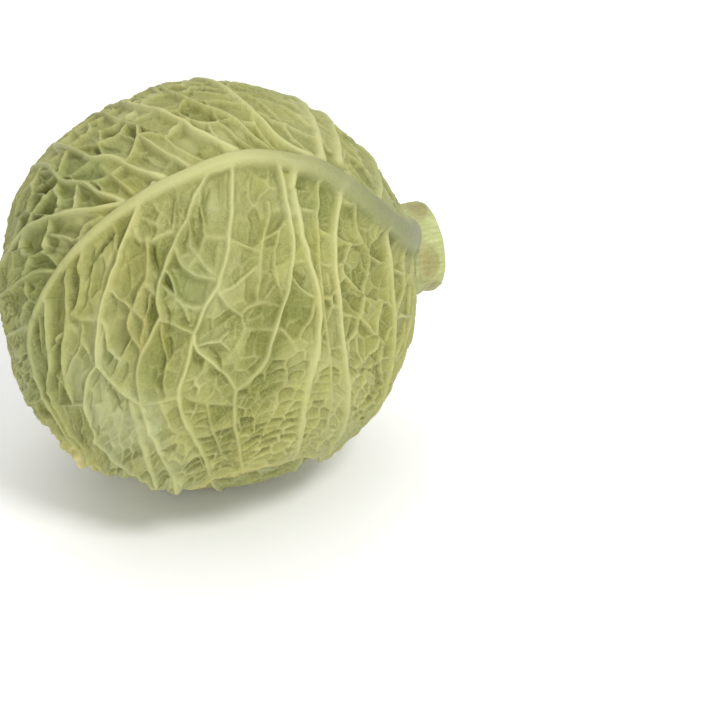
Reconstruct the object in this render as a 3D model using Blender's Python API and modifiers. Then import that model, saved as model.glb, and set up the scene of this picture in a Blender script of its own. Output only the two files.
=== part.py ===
"""A whole savoy cabbage head lying on its side: leaves wrapped round a stem core and a heart bud.

Metres, +Z up. The cut stem points along +X and the leaves close over the crown near -X. The origin is the
middle of the flat spot that the head rests on. Every leaf is a thin shell on a sphere of its own: the
spheres shrink towards the heart and drift towards the crown, so the leaf bases stand further apart on the
core than the leaf tops do over the crown.
"""
import math
from dataclasses import dataclass

import bmesh
import bpy
from mathutils import Vector

# Driving dimensions
HEAD_RADIUS = 0.090            # outside of the outermost leaf
WRAPPER_STEPS = (0.0050, 0.0050, 0.0040)   # from each loose wrapper to the next, outside to outside
WRAPPER_COUNT = len(WRAPPER_STEPS) + 1
HEAD_LEAF_STEP = 0.0030        # from one tight head leaf to the next
HEAD_LEAF_COUNT = 18
CROWN_DRIFT = 0.10             # how far a sphere's centre moves to the crown per metre of radius lost
LAMINA = 0.0010                # thickness of a leaf between its ribs
CLEARANCE = 0.0003             # kept between pieces that touch
REST_SPOT_RADIUS = 0.024       # flat pressed into the lowest wrapper by the head's own weight

# Leaf shape, as angles seen from the middle of its sphere
FIRST_LEAF_ROLL = math.radians(32.6)       # outermost leaf, from straight up towards -Y
GOLDEN_ANGLE = math.radians(137.5)         # turn about the stem from each leaf to the next
TIP_REACH = 1.84               # from the middle of the leaf to its tip, radians
SIDE_REACH = 1.62              # from the midrib to the widest part of either margin, radians
TIP_ROUNDING = 0.38            # how far the tip's corners fall back, radians
BASE_HALF_WIDTH = 0.15         # half width of the leaf where it leaves the core, radians
EDGE_HUG = 0.0014              # how far the margins of a wrapper press in on the leaf below
RIB_HEIGHTS = (0.0040, 0.0014, 0.0012, 0.0010)   # how far each wrapper's midrib stands out at its base
HEAD_LEAF_RIB_HEIGHT = 0.0004
RIB_HALF_WIDTH = 0.011
RIB_FADE = 0.33                # share of a covered leaf's length over which its midrib fades

# Stem core and heart bud
STEM_CUT_X = 0.104             # cut face of the stem
STEM_RADIUS = 0.0205
CORE_TIP_X = 0.0080
CORE_TIP_RADIUS = 0.0070
CORE_EDGE = 0.0015             # rounding of the core's two ends
CORE_STEPS = 24
HEART_HALF_LENGTH = 0.0155
HEART_RADIUS = 0.0150
HEART_SEGMENTS = 16

# Mesh fineness
FACET_DIP = 0.00125            # how far a facet may fall inside its sphere
REST_LEAF_CELL = 0.013         # finer facets on the leaf that the head rests on

REST_LEAF = 1                  # the second wrapper lies underneath
REST_LEAF_RADIUS = HEAD_RADIUS - WRAPPER_STEPS[0]
HEAD_CENTRE_Z = math.sqrt(REST_LEAF_RADIUS ** 2 - REST_SPOT_RADIUS ** 2)

# Finishes: colour, roughness
OUTER_GREEN = (0.36, 0.42, 0.16)
INNER_YELLOW = (0.78, 0.72, 0.36)
CORE_CREAM = (0.80, 0.76, 0.52)
HEART_YELLOW = (0.82, 0.72, 0.34)
LEAF_ROUGHNESS = 0.50
CORE_ROUGHNESS = 0.60


@dataclass
class Leaf:
    """One leaf: its place in the spiral and the sphere it lies on."""

    name: str
    order: int
    radius: float
    rib_height: float

    @property
    def roll(self):
        """Turn of the leaf's middle about the stem, from straight up towards -Y."""
        return FIRST_LEAF_ROLL + self.order * GOLDEN_ANGLE

    @property
    def centre(self):
        """Middle of the sphere that the leaf lies on."""
        return Vector((-CROWN_DRIFT * (HEAD_RADIUS - self.radius), 0.0, HEAD_CENTRE_Z))

    @property
    def is_wrapper(self):
        """Whether this is one of the loose outer leaves."""
        return self.order < WRAPPER_COUNT


def clear_scene():
    """Remove every object of the scene that Blender opened with."""
    for obj in list(bpy.data.objects):
        bpy.data.objects.remove(obj, do_unlink=True)


def new_collection(name):
    """Return a new collection linked to the scene."""
    collection = bpy.data.collections.new(name)
    bpy.context.scene.collection.children.link(collection)
    return collection


def finish(name, colour, roughness):
    """Return a Principled material of one colour."""
    material = bpy.data.materials.new(name)
    material.use_nodes = True
    shader = material.node_tree.nodes["Principled BSDF"]
    shader.inputs["Base Color"].default_value = (*colour, 1.0)
    shader.inputs["Roughness"].default_value = roughness
    shader.inputs["Metallic"].default_value = 0.0
    return material


def place(name, mesh, collection, material):
    """Make an object of a mesh, smooth shaded, in the collection."""
    mesh.materials.append(material)
    mesh.shade_smooth()
    mesh.set_sharp_from_angle(angle=math.radians(50))
    obj = bpy.data.objects.new(name, mesh)
    collection.objects.link(obj)
    return obj


def plan_leaves():
    """List the leaves from the outermost wrapper to the innermost heart leaf."""
    leaves = []
    radius = HEAD_RADIUS
    for order in range(WRAPPER_COUNT):
        leaves.append(Leaf(f"wrapper_leaf_{order + 1:02d}", order, radius, RIB_HEIGHTS[order]))
        if order < len(WRAPPER_STEPS):
            radius -= WRAPPER_STEPS[order]
    for order in range(WRAPPER_COUNT, WRAPPER_COUNT + HEAD_LEAF_COUNT):
        radius -= HEAD_LEAF_STEP
        leaves.append(Leaf(f"head_leaf_{order + 1:02d}", order, radius, HEAD_LEAF_RIB_HEIGHT))
    return leaves


def core_radius(x):
    """Radius of the stem core at a place along its axis: a long taper with the stem's full width outside."""
    share = (x - CORE_TIP_X) / (HEAD_RADIUS - CORE_TIP_X)
    share = min(max(share, 0.0), 1.0)
    return CORE_TIP_RADIUS + (STEM_RADIUS - CORE_TIP_RADIUS) * math.sin(share * math.pi / 2)


def base_angle(leaf):
    """Angle from the leaf's middle back to where it meets the core, found by closing in on the gap."""
    angle = math.pi / 2
    for _ in range(12):
        x = leaf.centre.x + leaf.radius * math.sin(angle)
        reach = (core_radius(x) + CLEARANCE) / (leaf.radius - LAMINA)
        angle = math.acos(min(reach, 1.0))
    return angle


def drape(leaf, along, across, radius):
    """Put a leaf point on its sphere. Both angles are true from the middle of the leaf."""
    outward = Vector((0.0, -math.sin(leaf.roll), math.cos(leaf.roll)))
    to_crown = Vector((-1.0, 0.0, 0.0))
    to_side = Vector((0.0, -math.cos(leaf.roll), -math.sin(leaf.roll)))
    angle = math.hypot(along, across)
    if angle < 1e-9:
        return leaf.centre + outward * radius
    sideways = (to_crown * along + to_side * across) / angle
    return leaf.centre + (outward * math.cos(angle) + sideways * math.sin(angle)) * radius


def half_width(share):
    """Half width of a leaf, in radians, at a share of its length: narrow at the base, blunt at the tip."""
    fullness = math.sin(math.pi * 0.82 * share ** 0.62)
    return BASE_HALF_WIDTH + (SIDE_REACH - BASE_HALF_WIDTH) * fullness


def leaf_sway(along):
    """Sideways swing of the midrib, in radians: towards the front near the base and over the crown."""
    if along > 0.0:
        return 0.18 * along ** 2 - 0.08
    return 0.10 - 0.18 * math.cos(3.1 * along)


def leaf_cells(leaf, length):
    """Number of facets along and across a leaf, so that none falls too far inside its sphere."""
    cell = 2.0 * math.sqrt(leaf.radius * FACET_DIP)
    if leaf.order == REST_LEAF:
        cell = REST_LEAF_CELL
    along = math.ceil(length * leaf.radius / cell)
    across = 2 * math.ceil(SIDE_REACH * leaf.radius / cell)
    return along, across


def leaf_surface(leaf):
    """Drape a grid over the leaf's sphere as its inner surface. Returns the mesh and the rib weights."""
    base = -base_angle(leaf)
    length = TIP_REACH - base
    along_cells, across_cells = leaf_cells(leaf, length)
    shape = bmesh.new()
    bmesh.ops.create_grid(shape, x_segments=along_cells, y_segments=across_cells, size=1.0)
    side = -1.0 if leaf.order % 2 else 1.0
    fade = 1.0 if leaf.order == 0 else RIB_FADE
    weights = {}
    for vertex in shape.verts:
        share = (vertex.co.x + 1.0) / 2.0
        lateral = vertex.co.y
        along = base + (length - TIP_ROUNDING * lateral ** 2) * share
        spine = side * leaf_sway(along) * min(1.0, 4.0 * share)
        across = spine + half_width(share) * lateral
        radius = leaf.radius - LAMINA
        if leaf.is_wrapper:
            radius -= EDGE_HUG * max(0.0, (abs(lateral) - 0.7) / 0.3) ** 2
        rib = math.exp(-((across - spine) * leaf.radius / RIB_HALF_WIDTH) ** 2) * max(0.0, 1.0 - share / fade)
        vertex.co = drape(leaf, along, across, radius)
        if vertex.co.z < LAMINA:
            vertex.co.z = LAMINA
            rib = 0.0
        weights[vertex.index] = rib
    bmesh.ops.recalc_face_normals(shape, faces=shape.faces)
    if sum(face.normal.dot(face.calc_center_median() - leaf.centre) for face in shape.faces) < 0.0:
        bmesh.ops.reverse_faces(shape, faces=shape.faces)
    mesh = bpy.data.meshes.new(leaf.name)
    shape.to_mesh(mesh)
    shape.free()
    return mesh, weights


def build_leaf(leaf, innermost_order, collection):
    """Make one leaf: its draped inner surface, thickened outwards, most of all along the midrib."""
    mesh, weights = leaf_surface(leaf)
    blend = leaf.order / innermost_order
    colour = tuple(g + (y - g) * blend ** 0.7 for g, y in zip(OUTER_GREEN, INNER_YELLOW))
    obj = place(leaf.name, mesh, collection, finish(f"{leaf.name}_skin", colour, LEAF_ROUGHNESS))
    group = obj.vertex_groups.new(name="midrib")
    for index, weight in weights.items():
        group.add([index], weight, "REPLACE")
    thickness = LAMINA + leaf.rib_height
    shell = obj.modifiers.new("thickness", "SOLIDIFY")
    shell.thickness = thickness
    shell.offset = 1.0
    shell.use_even_offset = True
    shell.vertex_group = group.name
    shell.thickness_vertex_group = LAMINA / thickness
    return obj


def build_core(collection):
    """Turn the stem core: a tapering spindle from the cut face to the growing tip."""
    outline = [(0.0, STEM_CUT_X), (STEM_RADIUS - CORE_EDGE, STEM_CUT_X), (STEM_RADIUS, STEM_CUT_X - CORE_EDGE)]
    taper_steps = 8
    for step in range(taper_steps + 1):
        x = HEAD_RADIUS + (CORE_TIP_X + CORE_EDGE - HEAD_RADIUS) * step / taper_steps
        outline.append((core_radius(x), x))
    outline.append((CORE_TIP_RADIUS - CORE_EDGE, CORE_TIP_X))
    outline.append((0.0, CORE_TIP_X))
    mesh = bpy.data.meshes.new("stem_core")
    points = [(radius, 0.0, height) for radius, height in outline]
    edges = [(index, index + 1) for index in range(len(points) - 1)]
    mesh.from_pydata(points, edges, [])
    obj = place("stem_core", mesh, collection, finish("stem_core_flesh", CORE_CREAM, CORE_ROUGHNESS))
    obj.rotation_euler = (0.0, math.pi / 2, 0.0)
    obj.location = (0.0, 0.0, HEAD_CENTRE_Z)
    turned = obj.modifiers.new("turned", "SCREW")
    turned.angle = 2 * math.pi
    turned.steps = CORE_STEPS
    turned.render_steps = CORE_STEPS
    turned.use_merge_vertices = True
    turned.merge_threshold = 0.00005
    turned.use_smooth_shade = True
    return obj


def build_heart(collection):
    """Make the heart bud: an egg of tightly packed young leaves just beyond the tip of the core."""
    shape = bmesh.new()
    bmesh.ops.create_uvsphere(shape, u_segments=HEART_SEGMENTS, v_segments=HEART_SEGMENTS // 2 + 2, radius=1.0)
    middle = CORE_TIP_X - CLEARANCE - HEART_HALF_LENGTH
    for vertex in shape.verts:
        x, y, z = vertex.co
        vertex.co = (middle + z * HEART_HALF_LENGTH, y * HEART_RADIUS, HEAD_CENTRE_Z + x * HEART_RADIUS)
    bmesh.ops.recalc_face_normals(shape, faces=shape.faces)
    mesh = bpy.data.meshes.new("heart_bud")
    shape.to_mesh(mesh)
    shape.free()
    return place("heart_bud", mesh, collection, finish("heart_bud_skin", HEART_YELLOW, LEAF_ROUGHNESS))


def main():
    """Build the head from the outside in."""
    clear_scene()
    collection = new_collection("savoy_cabbage")
    leaves = plan_leaves()
    for leaf in leaves:
        build_leaf(leaf, leaves[-1].order, collection)
    build_core(collection)
    build_heart(collection)


main()
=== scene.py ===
"""Savoy cabbage head: crinkled leaves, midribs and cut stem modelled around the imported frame."""
import logging
import math
from dataclasses import dataclass, field
from enum import Enum

import bmesh
import bpy
import numpy as np
from mathutils import Matrix, Vector


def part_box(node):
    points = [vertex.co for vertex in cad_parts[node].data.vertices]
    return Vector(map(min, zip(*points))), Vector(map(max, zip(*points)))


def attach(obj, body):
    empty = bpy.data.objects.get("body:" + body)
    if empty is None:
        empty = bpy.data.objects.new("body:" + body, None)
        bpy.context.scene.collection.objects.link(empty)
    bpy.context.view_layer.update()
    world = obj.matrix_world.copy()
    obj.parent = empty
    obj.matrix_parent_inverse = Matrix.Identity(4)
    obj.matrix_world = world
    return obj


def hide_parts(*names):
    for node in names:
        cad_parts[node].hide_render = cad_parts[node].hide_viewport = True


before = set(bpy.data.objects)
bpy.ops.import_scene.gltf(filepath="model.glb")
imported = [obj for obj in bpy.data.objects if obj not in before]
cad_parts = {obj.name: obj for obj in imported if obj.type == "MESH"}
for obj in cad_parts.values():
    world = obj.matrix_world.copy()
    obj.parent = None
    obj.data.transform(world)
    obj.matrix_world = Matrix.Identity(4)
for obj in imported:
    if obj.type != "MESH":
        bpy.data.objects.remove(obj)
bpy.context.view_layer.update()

LOG = logging.getLogger("savoy")
MM = 0.001
FAR_AWAY = 1e3
LEAF_UNIT = 100.0
BODY = "root"


# ---------------------------------------------------------------- curves of one value


def ramp(values: np.ndarray, start: float, length: float) -> np.ndarray:
    """Rise from 0 at the start to 1 over the length, and stay there."""
    return np.clip((values - start) / length, 0.0, 1.0)


def bell(values: np.ndarray, middle: float, width: float | np.ndarray) -> np.ndarray:
    """Fall from 1 at the middle to 0 away from it, as a Gaussian bell."""
    return np.exp(-((values - middle) / width) ** 2)


def dish(gap: np.ndarray, width: float, power: float = 1.8) -> np.ndarray:
    """Rise from 0 at an edge to 1 on the floor of a dish, over about that width."""
    return 1.0 - np.exp(-(gap / width) ** power)


def between(values: np.ndarray, row: tuple[np.ndarray, np.ndarray],
            column: tuple[np.ndarray, np.ndarray]) -> np.ndarray:
    """Blend the four values of a grid round each place.

    Args:
        values: The grid's values.
        row: Number of the row before each place, and the share of the way to the next.
        column: The same for its column.

    Returns:
        The blended values.
    """
    (top, down), (left, right) = row, column
    upper = values[top, left] * (1 - right) + values[top, left + 1] * right
    lower = values[top + 1, left] * (1 - right) + values[top + 1, left + 1] * right
    return upper * (1 - down) + lower * down


# ---------------------------------------------------------------- the head's own form


@dataclass(frozen=True)
class HeadForm:
    """Sizes that all leaves share with their solids, in metres and radians."""

    radius: float = 0.090
    wrapper_steps: tuple[float, ...] = (0.005, 0.005, 0.004)
    head_step: float = 0.003
    head_leaves: int = 18
    crown_drift: float = 0.10
    first_roll: float = math.radians(32.6)
    golden_angle: float = math.radians(137.5)
    petiole_angle: float = 1.345
    petiole_root: float = 0.055
    tip_angle: float = 1.84
    side_angle: float = 1.62
    tip_rounding: float = 0.38
    base_half_angle: float = 0.15
    core_radius: float = 0.0205
    core_tip_x: float = 0.008
    core_tip_radius: float = 0.007
    width_reach: float = 0.82
    width_power: float = 0.62
    cover_ramp: tuple[float, float] = (0.04, 0.12)

    @property
    def axis_height(self) -> float:
        """Height of the stem's axis above the resting surface, read from the frame."""
        low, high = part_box("stem_core")
        return (low.z + high.z) / 2

    def leaf_radius(self, order: int) -> float:
        """Radius of the sphere that a leaf lies on, counted from the outermost.

        Args:
            order: Place of the leaf in the spiral, 0 for the outermost.

        Returns:
            The sphere's radius in metres.
        """
        radius = self.radius - sum(self.wrapper_steps[:order])
        return radius - self.head_step * max(0, order - len(self.wrapper_steps))

    def leaf_centre(self, order: int) -> np.ndarray:
        """Middle of the sphere that a leaf lies on."""
        return np.array([-self.crown_drift * (self.radius - self.leaf_radius(order)), 0.0, self.axis_height])

    def leaf_axes(self, order: int) -> tuple[np.ndarray, np.ndarray, np.ndarray]:
        """Directions from the sphere's centre to the leaf's middle, its front margin and its tip."""
        roll = self.first_roll + order * self.golden_angle
        middle = np.array([0.0, -math.sin(roll), math.cos(roll)])
        to_side = np.array([0.0, -math.cos(roll), -math.sin(roll)])
        return middle, to_side, np.array([-1.0, 0.0, 0.0])

    def half_angle(self, share: np.ndarray) -> np.ndarray:
        """Half the leaf's width as an angle, for a place from its base (0) to its tip (1)."""
        fullness = np.sin(np.pi * self.width_reach * np.clip(share, 0.0, 1.0) ** self.width_power)
        return self.base_half_angle + (self.side_angle - self.base_half_angle) * fullness

    def sway(self, angle: np.ndarray) -> np.ndarray:
        """Sideways swing of a leaf's middle line, for angles from its middle to its tip."""
        return np.where(angle > 0, 0.18 * angle ** 2 - 0.08, 0.10 - 0.18 * np.cos(3.1 * angle))

    def covered(self, directions: np.ndarray, order: int) -> np.ndarray:
        """Tell how far a leaf lies under those outside it.

        Args:
            directions: Unit directions from the head's middle, one per row.
            order: Place of the leaf in the spiral.

        Returns:
            0 in the open to 1 well under another leaf.
        """
        cover = np.zeros(len(directions))
        for outer in range(order):
            middle, to_side, to_crown = self.leaf_axes(outer)
            angle = np.arccos(np.clip(directions @ middle, -1.0, 1.0))
            turn = np.arctan2(directions @ to_side, directions @ to_crown)
            along, across = angle * np.cos(turn), angle * np.sin(turn)
            share = (along + self.petiole_angle) / (self.petiole_angle + self.tip_angle)
            inside = np.minimum(self.half_angle(share) - np.abs(across), self.tip_angle - 0.15 - angle)
            inside = np.where(share < 0.03, -1.0, inside)
            cover = np.maximum(cover, ramp(inside, *self.cover_ramp))
        return cover


class Fineness(Enum):
    """How finely a leaf is modelled, by how much of it shows: map step and facet in mm, most triangles."""

    SHOWN = (0.38, 0.52, 198_000)
    PARTLY_SHOWN = (0.5, 0.80, 150_000)
    EDGES_SHOWN = (0.7, 1.3, 70_000)
    GLIMPSED = (0.9, 1.9, 30_000)
    INSIDE = (1.3, 2.6, 12_000)


# ---------------------------------------------------------------- a leaf laid flat


@dataclass(frozen=True)
class Vein:
    """A vein on the flat leaf, in millimetres: x runs to the leaf's tip and y to its front margin.

    It runs smoothly through its knots. A web is how much wider it is where it leaves the midrib.
    """

    knots: tuple[tuple[float, float], ...]
    half_width: float = 0.65
    height: float = 0.75
    web: float = 0.0
    taper: float = 0.40

    def path(self, spacing: float) -> np.ndarray:
        """Points along the vein that far apart, one per row."""
        return smooth_route(self.knots, spacing)


@dataclass(frozen=True)
class Patch:
    """A soft patch on the flat leaf: its middle and reach in millimetres, and its strength."""

    middle: tuple[float, float]
    reach: float
    strength: float = 1.0


def patches(*rows: tuple[float, ...]) -> tuple[Patch, ...]:
    """Make patches of rows that hold a place along and across, a reach and, unless it is 1, a strength."""
    return tuple(Patch(row[:2], *row[2:]) for row in rows)


def smooth_route(knots: tuple[tuple[float, float], ...], spacing: float = 1.0) -> np.ndarray:
    """Run a Catmull-Rom curve through a few places.

    Args:
        knots: The places, in millimetres.
        spacing: Rough distance between the curve's points.

    Returns:
        Points along the curve, one per row.
    """
    places = np.array(knots, dtype=float)
    padded = np.vstack([2 * places[0] - places[1], places, 2 * places[-1] - places[-2]])
    points = []
    for before, start, end, after in zip(padded, padded[1:], padded[2:], padded[3:]):
        steps = max(2, int(np.hypot(*(end - start)) / spacing))
        t = np.linspace(0.0, 1.0, steps, endpoint=False)[:, None]
        square, cube = 2 * before - 5 * start + 4 * end - after, 3 * start - before - 3 * end + after
        points.append(0.5 * (2 * start + (end - before) * t + square * t ** 2 + cube * t ** 3))
    points.append(places[-1:])
    return np.vstack(points)


def swept_knots(start: tuple[float, float], headings: tuple[float, float, float],
                length: float) -> tuple[tuple[float, float], ...]:
    """Lay knots along a bow whose heading turns smoothly through three values.

    Args:
        start: Where the bow starts, in millimetres.
        headings: Headings at the start, middle and end, in degrees: 0 to the tip, 90 to the front margin.
        length: Length of the bow.

    Returns:
        Six knots.
    """
    share = np.linspace(0.0, 1.0, 6)
    first, middle, last = headings
    heading = np.radians(first * (1 - share) ** 2 + 2 * middle * share * (1 - share) + last * share ** 2)
    run = np.stack([np.cos(heading), np.sin(heading)], axis=1) * length / 5
    run[0] = 0.0
    return tuple(map(tuple, np.array(start) + np.cumsum(run, axis=0)))


def waves(u: np.ndarray, v: np.ndarray, size_u: float, size_v: float, seed: int) -> np.ndarray:
    """Smooth random waves over any pair of coordinates.

    Args:
        u: First coordinate of each sample, in millimetres.
        v: Second coordinate.
        size_u: Distance between the waves' knots along u.
        size_v: Distance between the knots along v.
        seed: Seed of the draw.

    Returns:
        Values of about -1 to 1, one per sample.
    """
    rng = np.random.default_rng(seed)
    column, row = u / size_u, v / size_v
    left, top = np.floor(column).astype(int), np.floor(row).astype(int)
    across, down = column - left, row - top
    across, down = across * across * (3 - 2 * across), down * down * (3 - 2 * down)
    left, top = left - left.min(), top - top.min()
    knots = rng.uniform(-1.0, 1.0, (top.max() + 2, left.max() + 2)).astype(np.float32)
    return between(knots, (top, down), (left, across)).astype(np.float32)


class FlatMap:
    """Values over a flat leaf, on a square grid in millimetres: rows run across it, columns along it."""

    def __init__(self, reach: float, step: float) -> None:
        """Lay the grid.

        Args:
            reach: Half the side of the square, in millimetres.
            step: Distance between samples, in millimetres.
        """
        self.step = step
        self.low = -reach
        count = int(2 * reach / step) + 1
        line = (self.low + step * np.arange(count)).astype(np.float32)
        self.along, self.across = np.meshgrid(line, line)

    def sample(self, values: np.ndarray, along: np.ndarray, across: np.ndarray) -> np.ndarray:
        """Read values between the samples.

        Args:
            values: One value per sample.
            along: Places along the leaf, in millimetres.
            across: Places across it.

        Returns:
            The interpolated values.
        """
        rows, columns = values.shape
        column = np.clip((along - self.low) / self.step, 0, columns - 1.001)
        row = np.clip((across - self.low) / self.step, 0, rows - 1.001)
        left, top = column.astype(int), row.astype(int)
        return between(values, (top, row - top), (left, column - left))

    def noise(self, size: float, seed: int) -> np.ndarray:
        """Smooth random waves over the leaf, of about -1 to 1, with knots that far apart."""
        return waves(self.along, self.across, size, size, seed)

    def blur(self, values: np.ndarray, size: float) -> np.ndarray:
        """Soften values with a Gaussian.

        Args:
            values: One value per sample.
            size: The Gaussian's standard deviation, in millimetres.

        Returns:
            The softened values.
        """
        reach = max(1, int(3 * size / self.step))
        offsets = np.arange(-reach, reach + 1) * self.step
        weights = np.exp(-0.5 * (offsets / size) ** 2)
        weights /= weights.sum()
        padded = np.pad(values, reach, mode="edge")
        rows, columns = values.shape
        level = sum(w * padded[:, i:i + columns] for i, w in enumerate(weights))
        return sum(w * level[i:i + rows] for i, w in enumerate(weights)).astype(np.float32)

    def lowest_near(self, values: np.ndarray, reach: float) -> np.ndarray:
        """Take the lowest value within a square around each sample.

        Args:
            values: One value per sample.
            reach: Half the square's side, in millimetres.

        Returns:
            The lowest values.
        """
        count = max(1, int(reach / self.step))
        padded = np.pad(values, count, mode="edge")
        rows, columns = values.shape
        level = np.min([padded[:, i:i + columns] for i in range(2 * count + 1)], axis=0)
        return np.min([level[i:i + rows] for i in range(2 * count + 1)], axis=0)

    def distance(self, path: np.ndarray, reach: float) -> tuple[np.ndarray, np.ndarray]:
        """Measure how far each sample is from a path.

        Args:
            path: Points along the path, in millimetres.
            reach: How far to look, in millimetres.

        Returns:
            The distance, and the share of the path's length at its nearest point.
        """
        gap = np.full(self.along.shape, FAR_AWAY, np.float32)
        share = np.zeros(self.along.shape, np.float32)
        last = len(path) - 1
        for index, (start, end) in enumerate(zip(path, path[1:])):
            low = np.minimum(start, end) - reach
            high = np.maximum(start, end) + reach
            first = np.clip(((low - self.low) / self.step).astype(int), 0, self.along.shape[0] - 1)
            final = np.clip(((high - self.low) / self.step).astype(int) + 1, 1, self.along.shape[0])
            window = (slice(first[1], final[1]), slice(first[0], final[0]))
            dx = self.along[window] - start[0]
            dy = self.across[window] - start[1]
            run = end - start
            t = np.clip((dx * run[0] + dy * run[1]) / max(run @ run, 1e-9), 0.0, 1.0)
            near = np.hypot(dx - t * run[0], dy - t * run[1])
            closer = near < gap[window]
            gap[window] = np.where(closer, near, gap[window])
            share[window] = np.where(closer, (index + t) / last, share[window])
        return gap, share


@dataclass
class Pockets:
    """The cells that a network of fine veins parts the leaf into."""

    edge: np.ndarray
    label: np.ndarray
    off_along: np.ndarray
    off_across: np.ndarray

    @property
    def count(self) -> int:
        """How many labels there may be."""
        return int(self.label.max()) + 1

    def deal(self, values: np.ndarray) -> np.ndarray:
        """Give every sample its cell's value."""
        return values.astype(np.float32)[self.label]


def part_into_pockets(u: np.ndarray, v: np.ndarray, size: float, owner: np.ndarray, seed: int,
                      spread: float = 0.84) -> Pockets:
    """Part the leaf into irregular cells, none of which crosses from one owner area to the next.

    Args:
        u: First coordinate of each sample in the space where the cells are evenly spaced, in millimetres.
        v: Second coordinate.
        size: Spacing of the cells, in millimetres.
        owner: Label of the area that each sample belongs to.
        seed: Seed of the draw.
        spread: How unevenly the cells lie, from 0, a square grid, to 1.

    Returns:
        The cells: distance to the nearest edge, label, and place within the cell.
    """
    rng = np.random.default_rng(seed)
    i0, j0 = np.floor(u / size).astype(int), np.floor(v / size).astype(int)
    border = 3
    base_i, base_j = i0.min() - border, j0.min() - border
    rows, columns = i0.max() - base_i + border + 1, j0.max() - base_j + border + 1
    jitter = rng.uniform(0.5 - spread / 2, 0.5 + spread / 2, (rows, columns, 2)).astype(np.float32)
    knot_u = (np.arange(rows)[:, None] + base_i + jitter[..., 0]) * size
    knot_v = (np.arange(columns)[None, :] + base_j + jitter[..., 1]) * size
    knot_u, knot_v = knot_u.ravel().astype(np.float32), knot_v.ravel().astype(np.float32)
    home = (i0 - base_i) * columns + (j0 - base_j)

    knot_owner = None
    label = np.zeros(u.shape, np.int32)
    for reach in (1, 2):
        nearest = np.full(u.shape, FAR_AWAY ** 3, np.float32)
        for index in _around(columns, reach):
            knot = home + index
            gap = (knot_u[knot] - u) ** 2 + (knot_v[knot] - v) ** 2
            closer = gap < nearest
            if knot_owner is not None:
                closer &= knot_owner[knot] == owner
            nearest = np.where(closer, gap, nearest)
            label = np.where(closer, knot, label)
        if knot_owner is None:
            order = np.argsort(-nearest.ravel())
            knot_owner = np.full(rows * columns, -1, np.int64)
            knot_owner[label.ravel()[order]] = owner.ravel()[order]
    own_u, own_v = knot_u[label], knot_v[label]
    edge = np.full(u.shape, size, np.float32)
    for index in _around(columns, 2):
        knot = home + index
        run_u, run_v = knot_u[knot] - own_u, knot_v[knot] - own_v
        length = np.hypot(run_u, run_v)
        gap = ((own_u + run_u / 2 - u) * run_u + (own_v + run_v / 2 - v) * run_v) / np.maximum(length, 1e-6)
        other = (length > 1e-5) & (knot_owner[knot] == owner)
        edge = np.where(other, np.minimum(edge, gap), edge)
    return Pockets(np.maximum(edge, 0.0), label, u - own_u, v - own_v)


def _around(columns: int, reach: int) -> list[int]:
    """List the offsets of the cells around a cell in a grid with that many columns."""
    span = range(-reach, reach + 1)
    return [i * columns + j for i in span for j in span]


def sectors(flat: FlatMap, main_gap: np.ndarray) -> np.ndarray:
    """Label the areas that the main veins fence off, by letting labels spread until they meet a vein.

    Args:
        flat: The leaf's map.
        main_gap: Distance to the nearest main vein, in millimetres.

    Returns:
        An area label per sample.
    """
    stride = max(1, round(1.3 / flat.step))
    coarse = main_gap[::stride, ::stride]
    open_ground = coarse > 0.8
    label = np.where(open_ground, np.arange(coarse.size).reshape(coarse.shape), -1)
    for _ in range(4 * max(coarse.shape)):
        grown = _spread(label)
        grown = np.where(open_ground, grown, -1)
        if np.array_equal(grown, label):
            break
        label = grown
    for _ in range(3):
        label = np.where(label < 0, _spread(label), label)
    full = np.repeat(np.repeat(label, stride, axis=0), stride, axis=1)
    return full[:main_gap.shape[0], :main_gap.shape[1]]


def _spread(label: np.ndarray) -> np.ndarray:
    """Give each sample the highest label among itself and its four neighbours."""
    padded = np.pad(label, 1, constant_values=-1)
    sides = (padded[1:-1, 1:-1], padded[:-2, 1:-1], padded[2:, 1:-1], padded[1:-1, :-2], padded[1:-1, 2:])
    return np.maximum.reduce(sides)


# ---------------------------------------------------------------- vein plans


@dataclass(frozen=True)
class VeinPlan:
    """The midrib, veins, folds and patches of one leaf, in millimetres on the flat leaf.

    Below nothing, a sunny patch is a lush green one. A shade patch is painted shade, and below nothing it is
    painted light, a pale one. Pockets are deeper where the leaf is sunk and shallower where that is below
    nothing. A raised patch stands off the head, in millimetres.
    """

    midrib: tuple[tuple[float, float], ...]
    veins: tuple[Vein, ...]
    folds: tuple[Vein, ...] = ()
    sunny: tuple[Patch, ...] = ()
    bloom: tuple[Patch, ...] = ()
    dry: tuple[Patch, ...] = ()
    sunk: tuple[Patch, ...] = ()
    raised: tuple[Patch, ...] = ()
    shade: tuple[Patch, ...] = ()


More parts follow.
